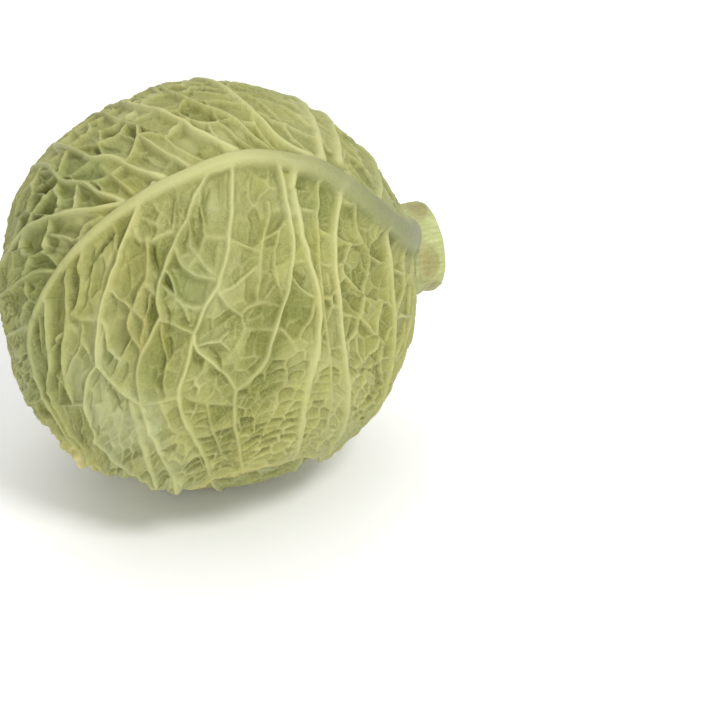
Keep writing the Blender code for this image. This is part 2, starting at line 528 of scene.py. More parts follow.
def outermost_plan() -> VeinPlan:
    """Plan the outermost leaf: its midrib swings forward at the base and curls down over the crown."""
    midrib = ((-130, 2), (-103, 17), (-80, 25), (-55, 19), (-30, 4), (-10, -3.5), (10, -4.5), (35, -1.5),
              (60, 2), (80, 6.5), (99, 13), (112, 20), (120.5, 32), (125, 52), (126, 72), (124, 100),
              (120, 125))
    front = (
        Vein(((-92, 18), (-94, 34), (-99, 58), (-108, 84), (-112, 100)), 1.1, 1.2, 1.5),
        Vein(((-64, 18), (-62, 34), (-64, 60), (-70, 90), (-78, 120), (-82, 136)), 1.4, 1.5, 1.5),
        Vein(((-44, 6), (-36, 17), (-30, 30), (-27, 44), (-27, 62), (-31, 85), (-38, 112),
             (-43, 142)), 2.4, 1.8, 1.0),
        Vein(((-31, 4), (-26, 18), (-23, 28), (-21, 40), (-19, 56), (-21, 76), (-24, 98),
             (-26, 122)), 0.8, 0.9),
        Vein(((-21, -1), (-17, 12), (-15, 28), (-16.5, 44), (-17, 60), (-14, 78), (-9, 96), (-8, 118),
             (-10, 142)), 2.8, 1.7, 0.6),
        Vein(((-15, -3), (-12.5, 12), (-10, 33), (-5, 49), (1.7, 59), (10, 75), (18, 81.5),
             (25.5, 84.5)), 2.0, 2.0, 0.6, 0.4),
        Vein(((25.5, 84.5), (27.5, 93), (28.5, 101), (27, 112), (26, 124), (23, 142)), 1.1, 1.1),
        Vein(((1, -8), (5, -1), (9, 12), (15, 27), (23, 41), (33, 51), (38, 57.5)), 1.7, 1.9, 0.9, 0.25),
        Vein(((38, 57.5), (45, 70), (51, 79), (51.5, 90), (48.7, 103), (46, 115), (45, 128),
             (44, 146)), 1.3, 1.4),
        Vein(((38, 57.5), (38.5, 64), (31.5, 73), (27.5, 80), (25.5, 84.5)), 1.2, 1.3, 0.0, 0.1),
        Vein(((4, -2.5), (9, -2), (14.5, -1.5), (19, 2), (23.5, 8), (29, 15), (36.5, 23), (43, 30),
             (48, 38), (49.5, 47)),
             1.3, 1.6, 0.4, 0.2),
        Vein(((50, 47), (55, 52), (61, 57), (66, 64), (68, 72), (69.5, 78)), 1.2, 1.3, 0.0, 0.2),
        Vein(((50, 47.5), (43, 52.5), (38, 57)), 1.0, 1.1, 0.0, 0.0),
        Vein(((35, -4.5), (42, 1), (48, 7), (55, 14), (63, 23), (70.5, 31), (76.5, 40), (81.5, 49),
             (83, 54)), 1.6, 1.9, 0.9, 0.25),
        Vein(((83, 54), (80, 62), (76, 70), (69.5, 78)), 1.1, 1.2, 0.0, 0.1),
        Vein(((83, 54), (91, 58), (99, 68), (101, 79), (104, 90), (100, 102), (95, 110), (86, 118),
             (77, 128), (73, 144)), 1.2, 1.2),
        Vein(((69.5, 78), (69, 91), (68, 103), (66, 115), (65, 130), (62, 148)), 1.2, 1.2),
        Vein(((74, 76), (75, 87), (76.5, 99), (77, 112), (76, 124)), 2.6, 0.8),
        Vein(((51, 80), (60, 79.5), (69.5, 78)), 0.9, 0.9, 0.0, 0.0),
        Vein(((78, 4.5), (83, 12), (86, 20), (93, 33), (99, 39.5), (104, 50), (107, 65)), 1.1, 1.1, 0.6),
        Vein(((95, 10), (101, 22), (106, 33), (110, 42.5), (118, 48.5), (121, 57), (122, 74), (119, 96),
             (114, 118), (106, 134)), 1.2, 1.2, 0.5),
        Vein(((99, 68), (107.5, 65.5), (116, 63), (121, 60)), 0.8, 0.8),
    )
    back = (
        Vein(((-84, 20), (-98, 6), (-112, -14), (-124, -34)), 1.1, 1.1, 1.5),
        Vein(((-60, 17), (-72, 0), (-84, -24), (-94, -50), (-104, -76)), 1.4, 1.4, 1.5),
        Vein(((-43, -1), (-54, -25), (-60, -37), (-66, -54), (-74, -82), (-81, -108)), 2.6, 1.6, 0.8),
        Vein(((-34, -1), (-40, -18), (-44, -32), (-49, -45), (-56, -60), (-62, -84),
             (-68, -116)), 3.4, 2.0, 0.6),
        Vein(((-29, -3), (-20, -13), (-16, -25), (-13, -43), (-11.5, -54), (-11, -76), (-14, -104),
             (-18, -132)), 2.4, 1.9, 0.9),
        Vein(((-14, -9), (-9, -17), (-7, -25), (-2, -33), (4, -42), (8, -53), (9, -72), (9, -96),
             (6, -122)), 1.0, 1.0),
        Vein(((1, -9), (10.8, -21), (15, -31), (20, -41), (24, -50), (29, -66), (31, -92),
             (32, -126)), 2.6, 2.2, 1.2),
        Vein(((14, -8), (21, -18), (24, -27)), 0.8, 0.8),
        Vein(((20, -7), (26.5, -18), (30.6, -27.5), (33, -34)), 1.2, 1.4, 0.8, 0.2),
        Vein(((33, -34), (38, -26), (42, -22)), 0.9, 1.0, 0.0, 0.1),
        Vein(((33, -34), (28, -31), (23.5, -26)), 0.9, 1.0, 0.0, 0.1),
        Vein(((33, -34), (31, -42), (36, -52), (40, -70), (45, -94), (47, -120)), 1.0, 1.0),
        Vein(((31, -6), (39, -15), (43, -23), (48, -30), (54, -35), (58, -45), (61, -54), (66, -72),
             (71, -96), (73, -118)), 2.0, 1.9, 1.1),
        Vein(((44, -6), (49, -19), (52, -28)), 0.8, 0.8),
        Vein(((48, -3), (56, -14), (60, -22), (64, -28), (69, -34), (72, -44), (75, -62), (83, -84),
             (89, -100)), 1.4, 1.5, 0.8),
        Vein(((48, -2), (60, -7.5), (72, -15), (85, -23), (95, -28), (106, -30), (120, -32),
             (138, -38)), 1.9, 1.6, 0.8),
        Vein(((86, 7), (96, -1), (108, -7), (120, -12), (132, -20)), 1.0, 1.0, 0.5),
        Vein(((112, 18), (124, 12), (136, 6)), 0.9, 0.9),
    )
    cross_veins = (
        Vein(((15, 26.5), (9, 31), (4, 34))),
        Vein(((-5, 15), (-3, 22), (1, 29), (4, 34), (5.5, 39), (8, 47), (10, 53))),
        Vein(((10, 53), (15, 54), (17.5, 56), (17, 61), (13, 62.5), (5, 64.5))),
        Vein(((10, 53), (5, 54.5), (0, 57))),
        Vein(((17, 61), (23, 68), (30, 73))),
        Vein(((25, 43.5), (23, 49), (20, 53), (17.5, 56))),
        Vein(((24, 61), (28, 63.5), (25, 68))),
        Vein(((28, 63.5), (33, 62.5), (38.5, 62.5))),
        Vein(((18.5, 2), (21.7, 11), (22, 17), (23, 22), (17.5, 25), (15, 26.5))),
        Vein(((23, 22), (26, 26.7), (28, 29), (32.5, 31.7))),
        Vein(((27, 12), (28, 18), (29.6, 24), (28, 29), (27, 33), (25, 37))),
        Vein(((35.5, 21.5), (36, 28), (34, 33), (30, 37), (24, 40)), 0.8, 1.0),
        Vein(((42, 29), (41, 34), (41.5, 42), (45, 44))),
        Vein(((41.5, 42), (39, 46), (38.5, 52))),
        Vein(((45, 15), (48, 25), (51.5, 31.5), (56, 35), (60, 39), (64, 44), (64, 49), (62, 55)), 0.7, 0.9),
        Vein(((51.5, 31.5), (49, 37.5))),
        Vein(((60, 39), (57, 46), (60, 52), (62.5, 57))),
        Vein(((64, 2), (72, 8), (76, 12), (76.5, 18), (83, 26.5), (90, 27.5)), 0.8, 1.0),
        Vein(((87, 27.5), (84, 31.5), (79, 35), (75, 36)), 0.8, 0.9),
        Vein(((27.5, 91), (33, 89), (39.5, 86.7), (48, 81.7))),
        Vein(((39.6, 87), (39.6, 97.5), (38, 108), (36.7, 117)), 0.7, 0.8),
        Vein(((28.7, 100), (36.7, 101), (41, 103), (48.7, 101.7))),
        Vein(((33, 82), (33, 89))),
        Vein(((60, 80), (58.7, 91), (57, 96), (49, 99))),
        Vein(((47.5, 111.7), (53, 112.5), (57, 115), (60, 111), (66.7, 105.8))),
        Vein(((95, 110), (99, 116), (103, 122))),
        Vein(((109, 48), (107, 54), (107, 64))),
    )
    folds = (
        Vein(((57, 5.5), (65, 10), (72.5, 14)), 0.5, -1.9),
        Vein(((80, 6.5), (85, 13), (90, 21)), 0.5, -1.8),
        Vein(((79, 17.5), (82.5, 23)), 0.45, -1.3),
        Vein(((44, 18), (45, 22), (45.5, 27)), 0.5, -1.7),
        Vein(((14, 2), (19, 8), (21, 14), (22.5, 18)), 0.4, -1.1),
        Vein(((26, 15), (27, 21), (27.5, 26)), 0.35, -0.9),
        Vein(((-26, 6.5), (-22, 7), (-18.5, 9)), 0.5, -1.4),
        Vein(((107, 15), (110, 22), (113.5, 30), (117, 40), (121, 50)), 0.8, -2.0),
        Vein(((121, 40), (123, 48), (123, 60)), 0.6, -1.2),
        Vein(((53, 59), (58, 66), (62, 74)), 0.6, -1.0),
        Vein(((69, 13), (65, 10.5), (60, 8), (55, 6)), 0.45, -2.2),
        Vein(((44, 17), (44.5, 22), (45.5, 29)), 0.45, -1.9),
        Vein(((18, 3), (19.5, 7), (22, 11), (23, 16)), 0.40, -1.5),
        Vein(((-24, 9), (-19, 10), (-14, 13)), 0.40, -1.4),
        Vein(((34, 64), (31, 70), (30, 78)), 0.45, -1.5),
        Vein(((47, 40), (46, 46), (48, 53)), 0.40, -1.2),
        Vein(((84, 60), (82, 70), (80, 80)), 0.45, -1.5),
        Vein(((100, 30), (104, 38), (109, 47)), 0.50, -1.8),
        Vein(((72, -20), (80, -25), (90, -30)), 0.50, -1.7),
        Vein(((52, -36), (58, -43), (62, -52)), 0.50, -1.6),
        Vein(((30, -40), (34, -50), (37, -60)), 0.45, -1.4),
        Vein(((88, -8), (98, -14), (108, -18)), 0.50, -1.6),
        Vein(((-5, -18), (-2, -26), (3, -35)), 0.40, -1.2),
    )
    sunny = patches(
        (58, 30, 13, 0.9), (57, 52, 11, 1.0), (45, 2, 14, 0.9), (6, 50, 9, 0.6), (-22, 50, 12, 0.8),
        (12, 97, 14, 0.6), (20, 120, 14, 0.5), (15, -5, 9, 0.5), (40, 39, 10, -1.0), (62, 64, 7, -0.8),
        (58, -28, 11, -0.8), (74, -40, 14, -1.0), (92, -30, 14, -0.9), (99, -8, 12, -0.8),
        (112, 12, 14, -0.8), (122, 34, 15, -1.0), (-28, 18, 8, -0.7), (33, 62, 8, -0.4),
        (130, 46, 14, -0.8), (102, -44, 14, -0.7))
    bloom = patches(
        (88, 82, 24, 0.9), (90, 58, 12, 0.8), (64, 119, 15, 0.7), (104, 111, 14, 0.7), (126, 30, 20, 0.8),
        (100, -38, 18, 0.6), (-16, 18, 9, 0.6), (-90, 15, 26, 0.7), (24, 8, 14, 0.40), (6, 14, 10, 0.45),
        (40, 12, 8, 0.35))
    dry = patches(
        (157, 80, 10), (147, 99, 12), (70, 150, 6, 0.6), (137, 82, 5, 1.3), (129, 98, 6, 1.5))
    sunk = patches(
        (60, -52, 36, 0.7), (98, -22, 30, 0.7), (15, -62, 34, 0.4), (110, 30, 22, 0.5), (34, 62, 14, 0.4),
        (-22, 60, 26, 0.3), (54, 54, 13, 0.6), (12, 72, 16, 0.3), (95, 108, 16, 0.4), (88, 64, 13, -0.8),
        (84, 86, 10, -0.6), (72, -68, 14, -0.6), (56, 96, 8, -0.6), (40, 140, 40, 0.3))
    raised = patches(
        (160, 44, 24, 4.4), (124, 122, 20, 3.4), (80, 138, 30, 4.0), (68, 144, 15, 3.4), (135, 84, 5, 1.6),
        (129, 99, 5, 2.2), (24, -84, 13, -2.8), (114, -48, 13, -2.8))
    # Painted shade where a strength is above nothing and painted light where it is below, evening out how
    # bright the leaf looks.
    shade = patches(
        (54, 54, 13, 0.50), (60, 70, 9, 0.35), (51, 41, 8, 0.25), (10, 68, 13, 0.42), (17, 88, 12, 0.40),
        (8, 54, 8, 0.25), (30, 26, 9, 0.28), (86, 12, 7, 0.30), (-2, 55, 8, 0.50), (88, 53, 12, -0.50),
        (81, 42, 7, -0.30), (92, 69, 10, -0.40), (87, 93, 12, -0.42), (70, 98, 10, -0.20),
        (67, -24, 7, -0.25), (74, -6, 9, -0.60), (28, -60, 12, -0.45), (55, -62, 8, -0.45),
        (32, -19, 6, -0.45), (14, -22, 8, -0.45), (-1, -20, 8, -0.50), (-32, -18, 12, -0.35),
        (29, 10, 6, 0.30), (97, 25, 8, 0.25), (116, 28, 8, 0.35), (27, 77, 6, 0.40), (31, 60, 7, -0.30),
        (29, 49, 8, -0.45), (70, -66, 10, -0.80), (83, -6, 7, -0.40), (96, -22, 8, -0.25),
        (65, 15, 9, -0.30), (31, -50, 8, -0.40), (116, 52, 8, 0.35), (81, 17, 8, 0.45), (129, 41, 8, 0.25),
        (8, 73, 7, 0.35), (18, 78, 7, 0.15), (-11, 60, 7, 0.15), (30, 88, 13, 0.28), (21, 101, 14, 0.32),
        (46, 98, 12, 0.25), (36, 115, 12, 0.22), (36, 16, 8, 0.35), (86, -47, 9, 0.30), (104, 20, 8, 0.25),
        (32, 79, 8, 0.28), (68, 36, 7, -0.35), (16, 6, 7, -0.30), (80, 40, 7, -0.25), (63, 47, 7, -0.25),
        (33, 65, 6, -0.30), (47, 28, 8, 0.22), (25, -18, 8, -0.25))
    return VeinPlan(midrib, front + back + cross_veins, folds, sunny, bloom, dry, sunk, raised, shade)


def ruled_plan(seed: int, lean: float) -> VeinPlan:
    """Plan a leaf by rule: side veins leave the midrib by turns, flatter towards the tip, and fork once.

    Args:
        seed: Seed of the draw.
        lean: 1 or -1, the side that the midrib swings to.

    Returns:
        The plan.
    """
    rng = np.random.default_rng(seed)
    midrib = ((-130, 0), (-95, 6 * lean), (-60, 7 * lean), (-20, 0), (20, -4 * lean), (60, -2 * lean),
              (95, 6 * lean), (125, 20 * lean), (148, 40 * lean))
    route = smooth_route(midrib)
    veins = []
    for side in (1, -1):
        station = -102.0 + rng.uniform(0, 8)
        while station < 132:
            y = np.interp(station, route[:, 0], route[:, 1])
            opening = np.interp(station, (-100, -50, 0, 60, 130), (116, 96, 76, 60, 44)) + rng.uniform(-7, 7)
            middle, end = opening - rng.uniform(10, 34), opening + rng.uniform(-8, 14)
            headings = (side * opening, side * middle, side * end)
            strength = np.interp(station, (-100, 0, 130), (1.4, 1.7, 0.8)) * rng.uniform(0.7, 1.1)
            length = np.interp(station, (-100, 0, 130), (140, 150, 50))
            knots = swept_knots((station, y), headings, length)
            veins.append(Vein(knots, strength, 1.05 * strength, rng.uniform(0.7, 1.4)))
            fork = knots[rng.integers(2, 4)]
            turn = headings[1] + rng.choice((-1, 1)) * rng.uniform(28, 50)
            twig = swept_knots(fork, (turn, turn - 10 * side, headings[2]), 0.35 * length)
            veins.append(Vein(twig, 0.8, 0.9))
            station += rng.uniform(14, 25)
    sunny = patches(*((*rng.uniform(-120, 140, 2), rng.uniform(9, 20), rng.uniform(-1, 1))
                      for _ in range(22)))
    bloom = patches(*((*rng.uniform(-120, 140, 2), rng.uniform(12, 26), 0.8) for _ in range(7)))
    dry = patches(*((x, side * 146, rng.uniform(5, 10), 0.8)
                    for side, x in zip((1, -1, 1), rng.uniform(-40, 60, 3))))
    return VeinPlan(midrib, tuple(veins), (), sunny, bloom, dry)


# ---------------------------------------------------------------- relief


@dataclass(frozen=True)
class Crinkle:
    """How strongly a leaf is crinkled: sizes, heights and depths in millimetres."""

    pocket: float = 12.5
    pocket_depth: float = 1.65
    pocket_edge: float = 1.10
    small_pocket: float = 6.0
    small_depth: float = 0.75
    small_edge: float = 0.72
    tiny_pocket: float = 3.0
    tiny_depth: float = 0.14
    tiny_edge: float = 0.6
    margin_pocket: float = 7.2
    margin_edge: float = 0.95
    margin_start: float = 62.0
    margin_blend: float = 34.0
    net_ridge: float = 0.50
    net_width: float = 0.55
    small_ridge: float = 0.30
    small_width: float = 0.38
    flute: float = 1.0
    wrinkle: float = 0.04
    swell: float = 1.3
    tilt: float = 0.15
    blade: float = 0.8
    ribs: float = 1.0


HEAD_CRINKLE = Crinkle(
    pocket=11.0, pocket_depth=0.8, small_depth=0.35, tiny_depth=0.12, net_ridge=0.25, small_ridge=0.15,
    flute=0.25, wrinkle=0.05, swell=0.35, tilt=0.05, blade=0.7, ribs=0.4)


class Relief:
    """Height and tint maps of one leaf, worked out on the flat leaf.

    The midrib's looks are given at stations from its base (0) to its tip (1), with sizes in millimetres.
    The pockets are evenly spaced once BESIDE, distances from the midrib, are mapped to SPACED. Their rows
    sweep towards the tip as the side veins do. Near the margin they are longer and narrower.
    """

    RIB_STATIONS = (0.0, 0.08, 0.14, 0.21, 0.29, 0.39, 0.52, 0.63, 0.76, 0.88, 1.0)
    RIB_HALF_WIDTHS = (11.0, 9.0, 7.6, 6.0, 5.1, 3.8, 2.7, 2.1, 1.6, 0.9, 0.5)
    RIB_HEIGHTS = (5.5, 5.0, 4.6, 4.2, 3.8, 3.3, 2.6, 2.0, 1.5, 0.8, 0.4)
    RIB_PALENESS = (0.0, 0.0, 0.04, 0.07, 0.14, 0.68, 0.54, 0.46, 0.50, 0.50, 0.40)
    # The next row greys and darkens the midrib's thick base: partly its own tone, partly painted shade.
    RIB_BASE_GREY_AND_SHADE = (0.85, 0.85, 0.85, 0.80, 0.50, 0.10, 0.12, 0.10, 0.05, 0.0, 0.0)
    RIB_REACH = 30.0
    VEIN_REACH = 14.0
    FOLD_REACH = 5.0
    KINK_SPACING = 4.5
    KINK = 0.45
    VEIN_WIDTH, VEIN_HEIGHT = 0.58, 0.80
    BESIDE = (0, 15, 45, 75, 130, 180)
    SPACED = (0, 7.0, 28, 54, 116, 176)
    SWEEP = 0.42
    MARGIN_ALONG, MARGIN_ACROSS = 0.80, 1.45
    POCKET_DEPTHS, SMALL_DEPTHS, MARGIN_DEPTHS = (0.35, 1.35), (0.1, 1.7), (0.35, 1.25)

    def __init__(self, plan: VeinPlan, crinkle: Crinkle, flat: FlatMap, seed: int) -> None:
        """Work the maps out.

        Args:
            plan: The leaf's main veins.
            crinkle: How strongly it is crinkled.
            flat: The flat leaf.
            seed: Seed of every draw.
        """
        self.flat = flat
        self.crinkle = crinkle
        self.seed = seed
        blank = np.zeros(flat.along.shape, np.float32)
        self.main_gap = blank + FAR_AWAY
        self.ridge, self.shoulder, self.vein, self.fold = blank, blank.copy(), blank.copy(), blank.copy()
        route = smooth_route(plan.midrib)
        rib_line = np.interp(flat.along[0], np.maximum.accumulate(route[:, 0]), route[:, 1])
        self.beyond_rib = flat.across - rib_line[None, :]
        self.spacing = max(1.0, 2.6 * flat.step)
        self.unevenness = flat.noise(7.0, seed + 70)
        self.outer = ramp(np.abs(self.beyond_rib), crinkle.margin_start, crinkle.margin_blend)
        self._raise_midrib(route)
        for number, vein in enumerate(plan.veins):
            self._raise_vein(vein, seed + 100 + number)
        for fold in plan.folds:
            self._press_fold(fold)
        self.sunk = self._patches(plan.sunk, 4)
        self.raised = self._patches(plan.raised, 5)
        self.shade = self._patches(plan.shade, 6)
        self._crinkle_blade()
        self.sunny = self._patches(plan.sunny, 1)
        # Painted light: shade patches below nothing also add the pale wax colour.
        self.bloom = np.clip(self._patches(plan.bloom, 2) - 0.8 * np.minimum(self.shade, 0.0), 0.0, 1.0)
        self.dry = np.clip(self._patches(plan.dry, 3), 0.0, 1.0)

    def _patches(self, spots: tuple[Patch, ...], draw: int) -> np.ndarray:
        """Sum up soft patches with uneven edges.

        Args:
            spots: The patches.
            draw: Number of the draw that makes their edges uneven.

        Returns:
            The summed strength per sample.
        """
        flat = self.flat
        unevenness = 1.0 + 0.35 * flat.noise(11.0, self.seed + 50 + draw)
        unevenness += 0.25 * flat.noise(4.0, self.seed + 60 + draw)
        total = np.zeros(flat.along.shape, np.float32)
        for spot in spots:
            gap = np.hypot(flat.along - spot.middle[0], flat.across - spot.middle[1]) * unevenness
            total += spot.strength * bell(gap, 0.0, spot.reach)
        return total

    def _raise_midrib(self, route: np.ndarray) -> None:
        """Add the midrib: a broad rounded rib at the base, a fine one at the tip.

        Args:
            route: Points along the midrib.
        """
        gap, share = self.flat.distance(route, self.RIB_REACH)
        self.rib_gap = gap
        half_width, height, paleness, base_grey_and_shade = (np.interp(share, self.RIB_STATIONS, look) for look in (
            self.RIB_HALF_WIDTHS, self.RIB_HEIGHTS, self.RIB_PALENESS, self.RIB_BASE_GREY_AND_SHADE))
        front = ramp(self.beyond_rib, 0.0, 3.0)
        reach = gap / (half_width * (1.0 + 0.12 * front) * (1.0 + 0.06 * self.unevenness))
        slope = 1.0 - 0.42 * front * np.clip(reach, 0.0, 1.2)
        self.ridge = np.maximum(self.ridge, height * slope * np.exp(-0.85 * reach ** 3.6))
        web = half_width * (1.15 + 0.30 * front) + 2.0
        self.shoulder = np.maximum(self.shoulder, 0.12 * height * bell(gap, 0.0, web))
        # On the front side the pale band is narrower, so the rib's lower front side reads as in shade:
        # painted shade.
        pale = np.exp(-(reach / (1.05 - 0.30 * front)) ** 4)
        on_rib = np.exp(-reach ** 4)
        self.stripes = waves(gap * (2 * front - 1), 300 * share, 1.5, 45.0, self.seed + 40) * on_rib
        self.vein = np.maximum(self.vein, paleness * pale * (1.0 + 0.22 * self.stripes))
        # Greyer and darker on the thick base of the rib: partly its own tone, partly painted shade.
        self.rib_base_grey_and_shade = base_grey_and_shade * on_rib
        # Painted shade along the lower front side of the midrib.
        self.flank_shade = 0.42 * front * bell(reach, 0.95, 0.26)
        self.main_gap = np.minimum(self.main_gap, np.maximum(gap - 0.8 * half_width, 0.0))

    def _raise_vein(self, vein: Vein, draw: int) -> None:
        """Add a side vein with a web where it leaves the midrib. It is broad and flat near the margin.

        Args:
            vein: The side vein.
            draw: Seed of its small kinks.
        """
        path = vein.path(self.spacing)
        length = np.hypot(*np.diff(path, axis=0).T).sum()
        kinks = np.linspace(0.0, length, max(4, int(length / self.KINK_SPACING)))
        offsets = np.random.default_rng(draw).uniform(-self.KINK, self.KINK, (2, len(kinks)))
        offsets[:, [0, -1]] = 0.0
        run = np.linspace(0.0, length, len(path))
        path = path + np.stack([np.interp(run, kinks, offset) for offset in offsets], axis=1)
        gap, share = self.flat.distance(path, self.VEIN_REACH)
        run = share * length
        uneven = 1.0 + 0.22 * self.unevenness
        strong = min(1.0, vein.height / 1.3)
        band = self.outer * strong
        slimmer = 1.0 - vein.taper * share
        wider = 1.0 + vein.web * np.exp(-run / 6.0)
        half_width = self.VEIN_WIDTH * vein.half_width * slimmer * wider * (uneven + 1.2 * band)
        higher = 1.0 + 0.2 * vein.web * np.exp(-run / 8.0)
        height = self.VEIN_HEIGHT * vein.height * slimmer * higher * (uneven - 0.45 * band)
        reach = gap / half_width
        self.ridge = np.maximum(self.ridge, height * np.exp(-reach ** (2.2 + 1.4 * band)))
        self.shoulder = np.maximum(self.shoulder, 0.32 * height * bell(gap, 0.0, 2.5 * half_width + 0.8))
        paleness = 0.84 * strong * (1.0 - 0.25 * share) * (0.60 + 0.40 * strong) * (1.0 - 0.35 * band)
        self.vein = np.maximum(self.vein, 1.1 * paleness * bell(reach, 0.0, 0.80))
        self.main_gap = np.minimum(self.main_gap, np.maximum(gap - 0.5 * half_width, 0.0))

    def _press_fold(self, fold: Vein) -> None:
        """Press a narrow crease into the blade.

        Args:
            fold: The crease, with a height below nothing.
        """
        gap, share = self.flat.distance(fold.path(self.spacing), self.FOLD_REACH)
        taper = np.sin(np.pi * np.clip(share, 0.02, 0.98)) ** 0.6
        self.fold += fold.height * taper * bell(gap, 0.0, fold.half_width * 1.3)

    def _crinkle_blade(self) -> None:
        """Part the blade into pockets, with others near the margin, and sum up height and tint."""
        flat, crinkle, seed = self.flat, self.crinkle, self.seed
        side = np.abs(self.beyond_rib)
        warp_u, warp_v = (2.4 * flat.noise(13.0, seed + draw) + 0.8 * flat.noise(4.5, seed + draw + 1)
                          for draw in (1, 3))
        u = flat.along - self.SWEEP * side + warp_u
        v = np.sign(self.beyond_rib) * np.interp(side, self.BESIDE, self.SPACED) + warp_v
        areas = sectors(flat, self.main_gap)
        big = part_into_pockets(u, v, crinkle.pocket, areas, seed + 5)
        small = part_into_pockets(u, v, crinkle.small_pocket, big.label, seed + 6, 0.60)
        tiny = part_into_pockets(u, v, crinkle.tiny_pocket, small.label, seed + 7)
        outer = part_into_pockets(self.MARGIN_ALONG * u, self.MARGIN_ACROSS * v, crinkle.margin_pocket,
                                  areas, seed + 20, 0.62)

        rng = np.random.default_rng(seed + 8)
        depth = big.deal(rng.uniform(*self.POCKET_DEPTHS, big.count))
        lean_u = big.deal(rng.normal(0.0, crinkle.tilt, big.count))
        lean_v = big.deal(rng.normal(0.0, 0.7 * crinkle.tilt, big.count))
        small_depth = small.deal(rng.uniform(*self.SMALL_DEPTHS, small.count))
        margin_depth = outer.deal(rng.uniform(*self.MARGIN_DEPTHS, outer.count))

        edge = np.minimum(big.edge, self.main_gap)
        small_edge = np.minimum(small.edge, edge)
        margin_edge = np.minimum(outer.edge, self.main_gap)
        clear = dish(self.main_gap, 1.6, 2)
        strength = 0.85 + 0.45 * flat.noise(34.0, seed + 9) + self.sunk
        hollow = dish(edge, crinkle.pocket_edge)
        small_hollow = dish(small_edge, crinkle.small_edge)
        tiny_hollow = dish(np.minimum(tiny.edge, small.edge), crinkle.tiny_edge)
        margin_hollow = dish(margin_edge, crinkle.margin_edge)
        net_strength = np.clip(0.75 + 0.6 * flat.noise(15.0, seed + 10), 0.15, 1.2)
        small_strength = np.clip(0.45 + 0.8 * flat.noise(11.0, seed + 11), 0.0, 1.2)
        far = np.clip(3.0 * self.outer + 0.6 * flat.noise(9.0, seed + 21) - 0.7, 0.0, 1.0)
        inner = 1.0 - far
        net = bell(big.edge, 0.0, crinkle.net_width) * clear * net_strength * inner
        net += bell(outer.edge, 0.0, crinkle.net_width) * clear * net_strength * far
        small_net = bell(small.edge, 0.0, crinkle.small_width) * clear * small_strength * inner
        cracked = np.clip(1.5 * flat.noise(8.0, seed + 18) + 0.1, 0.0, 1.0)
        # Crease lines are pressed into the blade, and further down they are also painted into its tint as
        # shade.
        crease = bell(edge, 0.95, 0.42) * np.clip(1.2 * depth - 0.4, 0.0, 1.0) * cracked * inner
        crease += bell(margin_edge, 0.85, 0.36) * np.clip(1.3 * margin_depth - 0.5, 0.0, 1.0) * cracked * far
        small_crease = bell(small_edge, 0.7, 0.35) * np.clip(small_depth - 0.6, 0.0, 1.0) * inner

        lean = np.clip(lean_u * big.off_along + lean_v * big.off_across, -1.6, 1.3)
        blade = -crinkle.pocket_depth * strength * depth * hollow * inner + lean * hollow * inner
        blade -= crinkle.small_depth * small_depth * small_hollow * clear * inner
        blade -= 1.05 * crinkle.pocket_depth * strength * margin_depth * margin_hollow * far
        blade -= 0.9 * crinkle.small_depth * crease
        blade -= crinkle.tiny_depth * tiny_hollow * clear
        beside_rib = bell(np.maximum(self.rib_gap - 5.0, 0.0), 0.0, 13.0)
        flutes = waves(u, v, 2.3, 12.0, seed + 14) + 0.5 * waves(u, v, 1.3, 7.0, seed + 15)
        blade += crinkle.flute * flutes * (0.22 - 0.12 * self.outer + 0.78 * beside_rib) * clear
        wrinkles = waves(u, v, 1.0, 2.4, seed + 16) + waves(u, v, 2.2, 1.1, seed + 17)
        blade += crinkle.wrinkle * wrinkles * clear
        blade = flat.blur(blade, 0.28) + crinkle.net_ridge * net + crinkle.small_ridge * small_net
        swell = crinkle.swell * (0.8 * flat.noise(46.0, seed + 12) + 0.45 * flat.noise(19.0, seed + 13))
        ribs = self.ridge + self.shoulder + self.fold + 0.13 * self.stripes
        self.height = swell - 0.3 * crinkle.swell + blade + crinkle.ribs * ribs

        # Painted shade: the tint "hollow" grows on pocket floors, along creases and folds and on the
        # midrib's lower front side, where shade falls, and under shade patches.
        pit_shade = (0.36 * hollow * depth * strength + 0.28 * small_hollow * small_depth) * inner
        pit_shade += 0.46 * margin_hollow * margin_depth * strength * far
        recess_shade = pit_shade * clear + 0.75 * crease + 0.35 * small_crease * clear - 0.60 * self.fold + self.flank_shade
        self.hollow = np.clip(recess_shade + np.maximum(self.shade, 0.0), 0.0, 1.0)
        lines = np.maximum(self.vein, np.maximum(0.55 * net, 0.36 * small_net))
        # Painted light: shade patches below nothing also add the pale rib colour.
        self.vein = np.clip(lines + (1.0 - lines) * np.clip(-0.75 * self.shade, 0.0, 1.0), 0.0, 1.0)


# ---------------------------------------------------------------- materials


def linear(code: str) -> tuple[float, float, float, float]:
    """Turn an sRGB hex colour to linear.

    Args:
        code: Colour such as "#c8c888".

    Returns:
        Red, green, blue and alpha.
    """
    values = [int(code[i:i + 2], 16) / 255 for i in (1, 3, 5)]
    red, green, blue = (c / 12.92 if c <= 0.04045 else ((c + 0.055) / 1.055) ** 2.4 for c in values)
    return red, green, blue, 1.0


def add_node(tree: bpy.types.NodeTree, kind: str, inputs: dict | None = None, **settings) -> bpy.types.Node:
    """Add a node with its settings and links.

    Args:
        tree: Node tree to add to.
        kind: Blender's node type.
        inputs: For each input, by name or number: a value, an output socket, or a node for its first output.
        **settings: Properties of the node.

    Returns:
        The node.
    """
    node = tree.nodes.new(kind)
    for name, value in settings.items():
        setattr(node, name, value)
    for name, value in (inputs or {}).items():
        if isinstance(value, bpy.types.Node):
            value = next(output for output in value.outputs if output.enabled)
        if isinstance(value, bpy.types.NodeSocket):
            tree.links.new(value, node.inputs[name])
        else:
            node.inputs[name].default_value = value
    return node


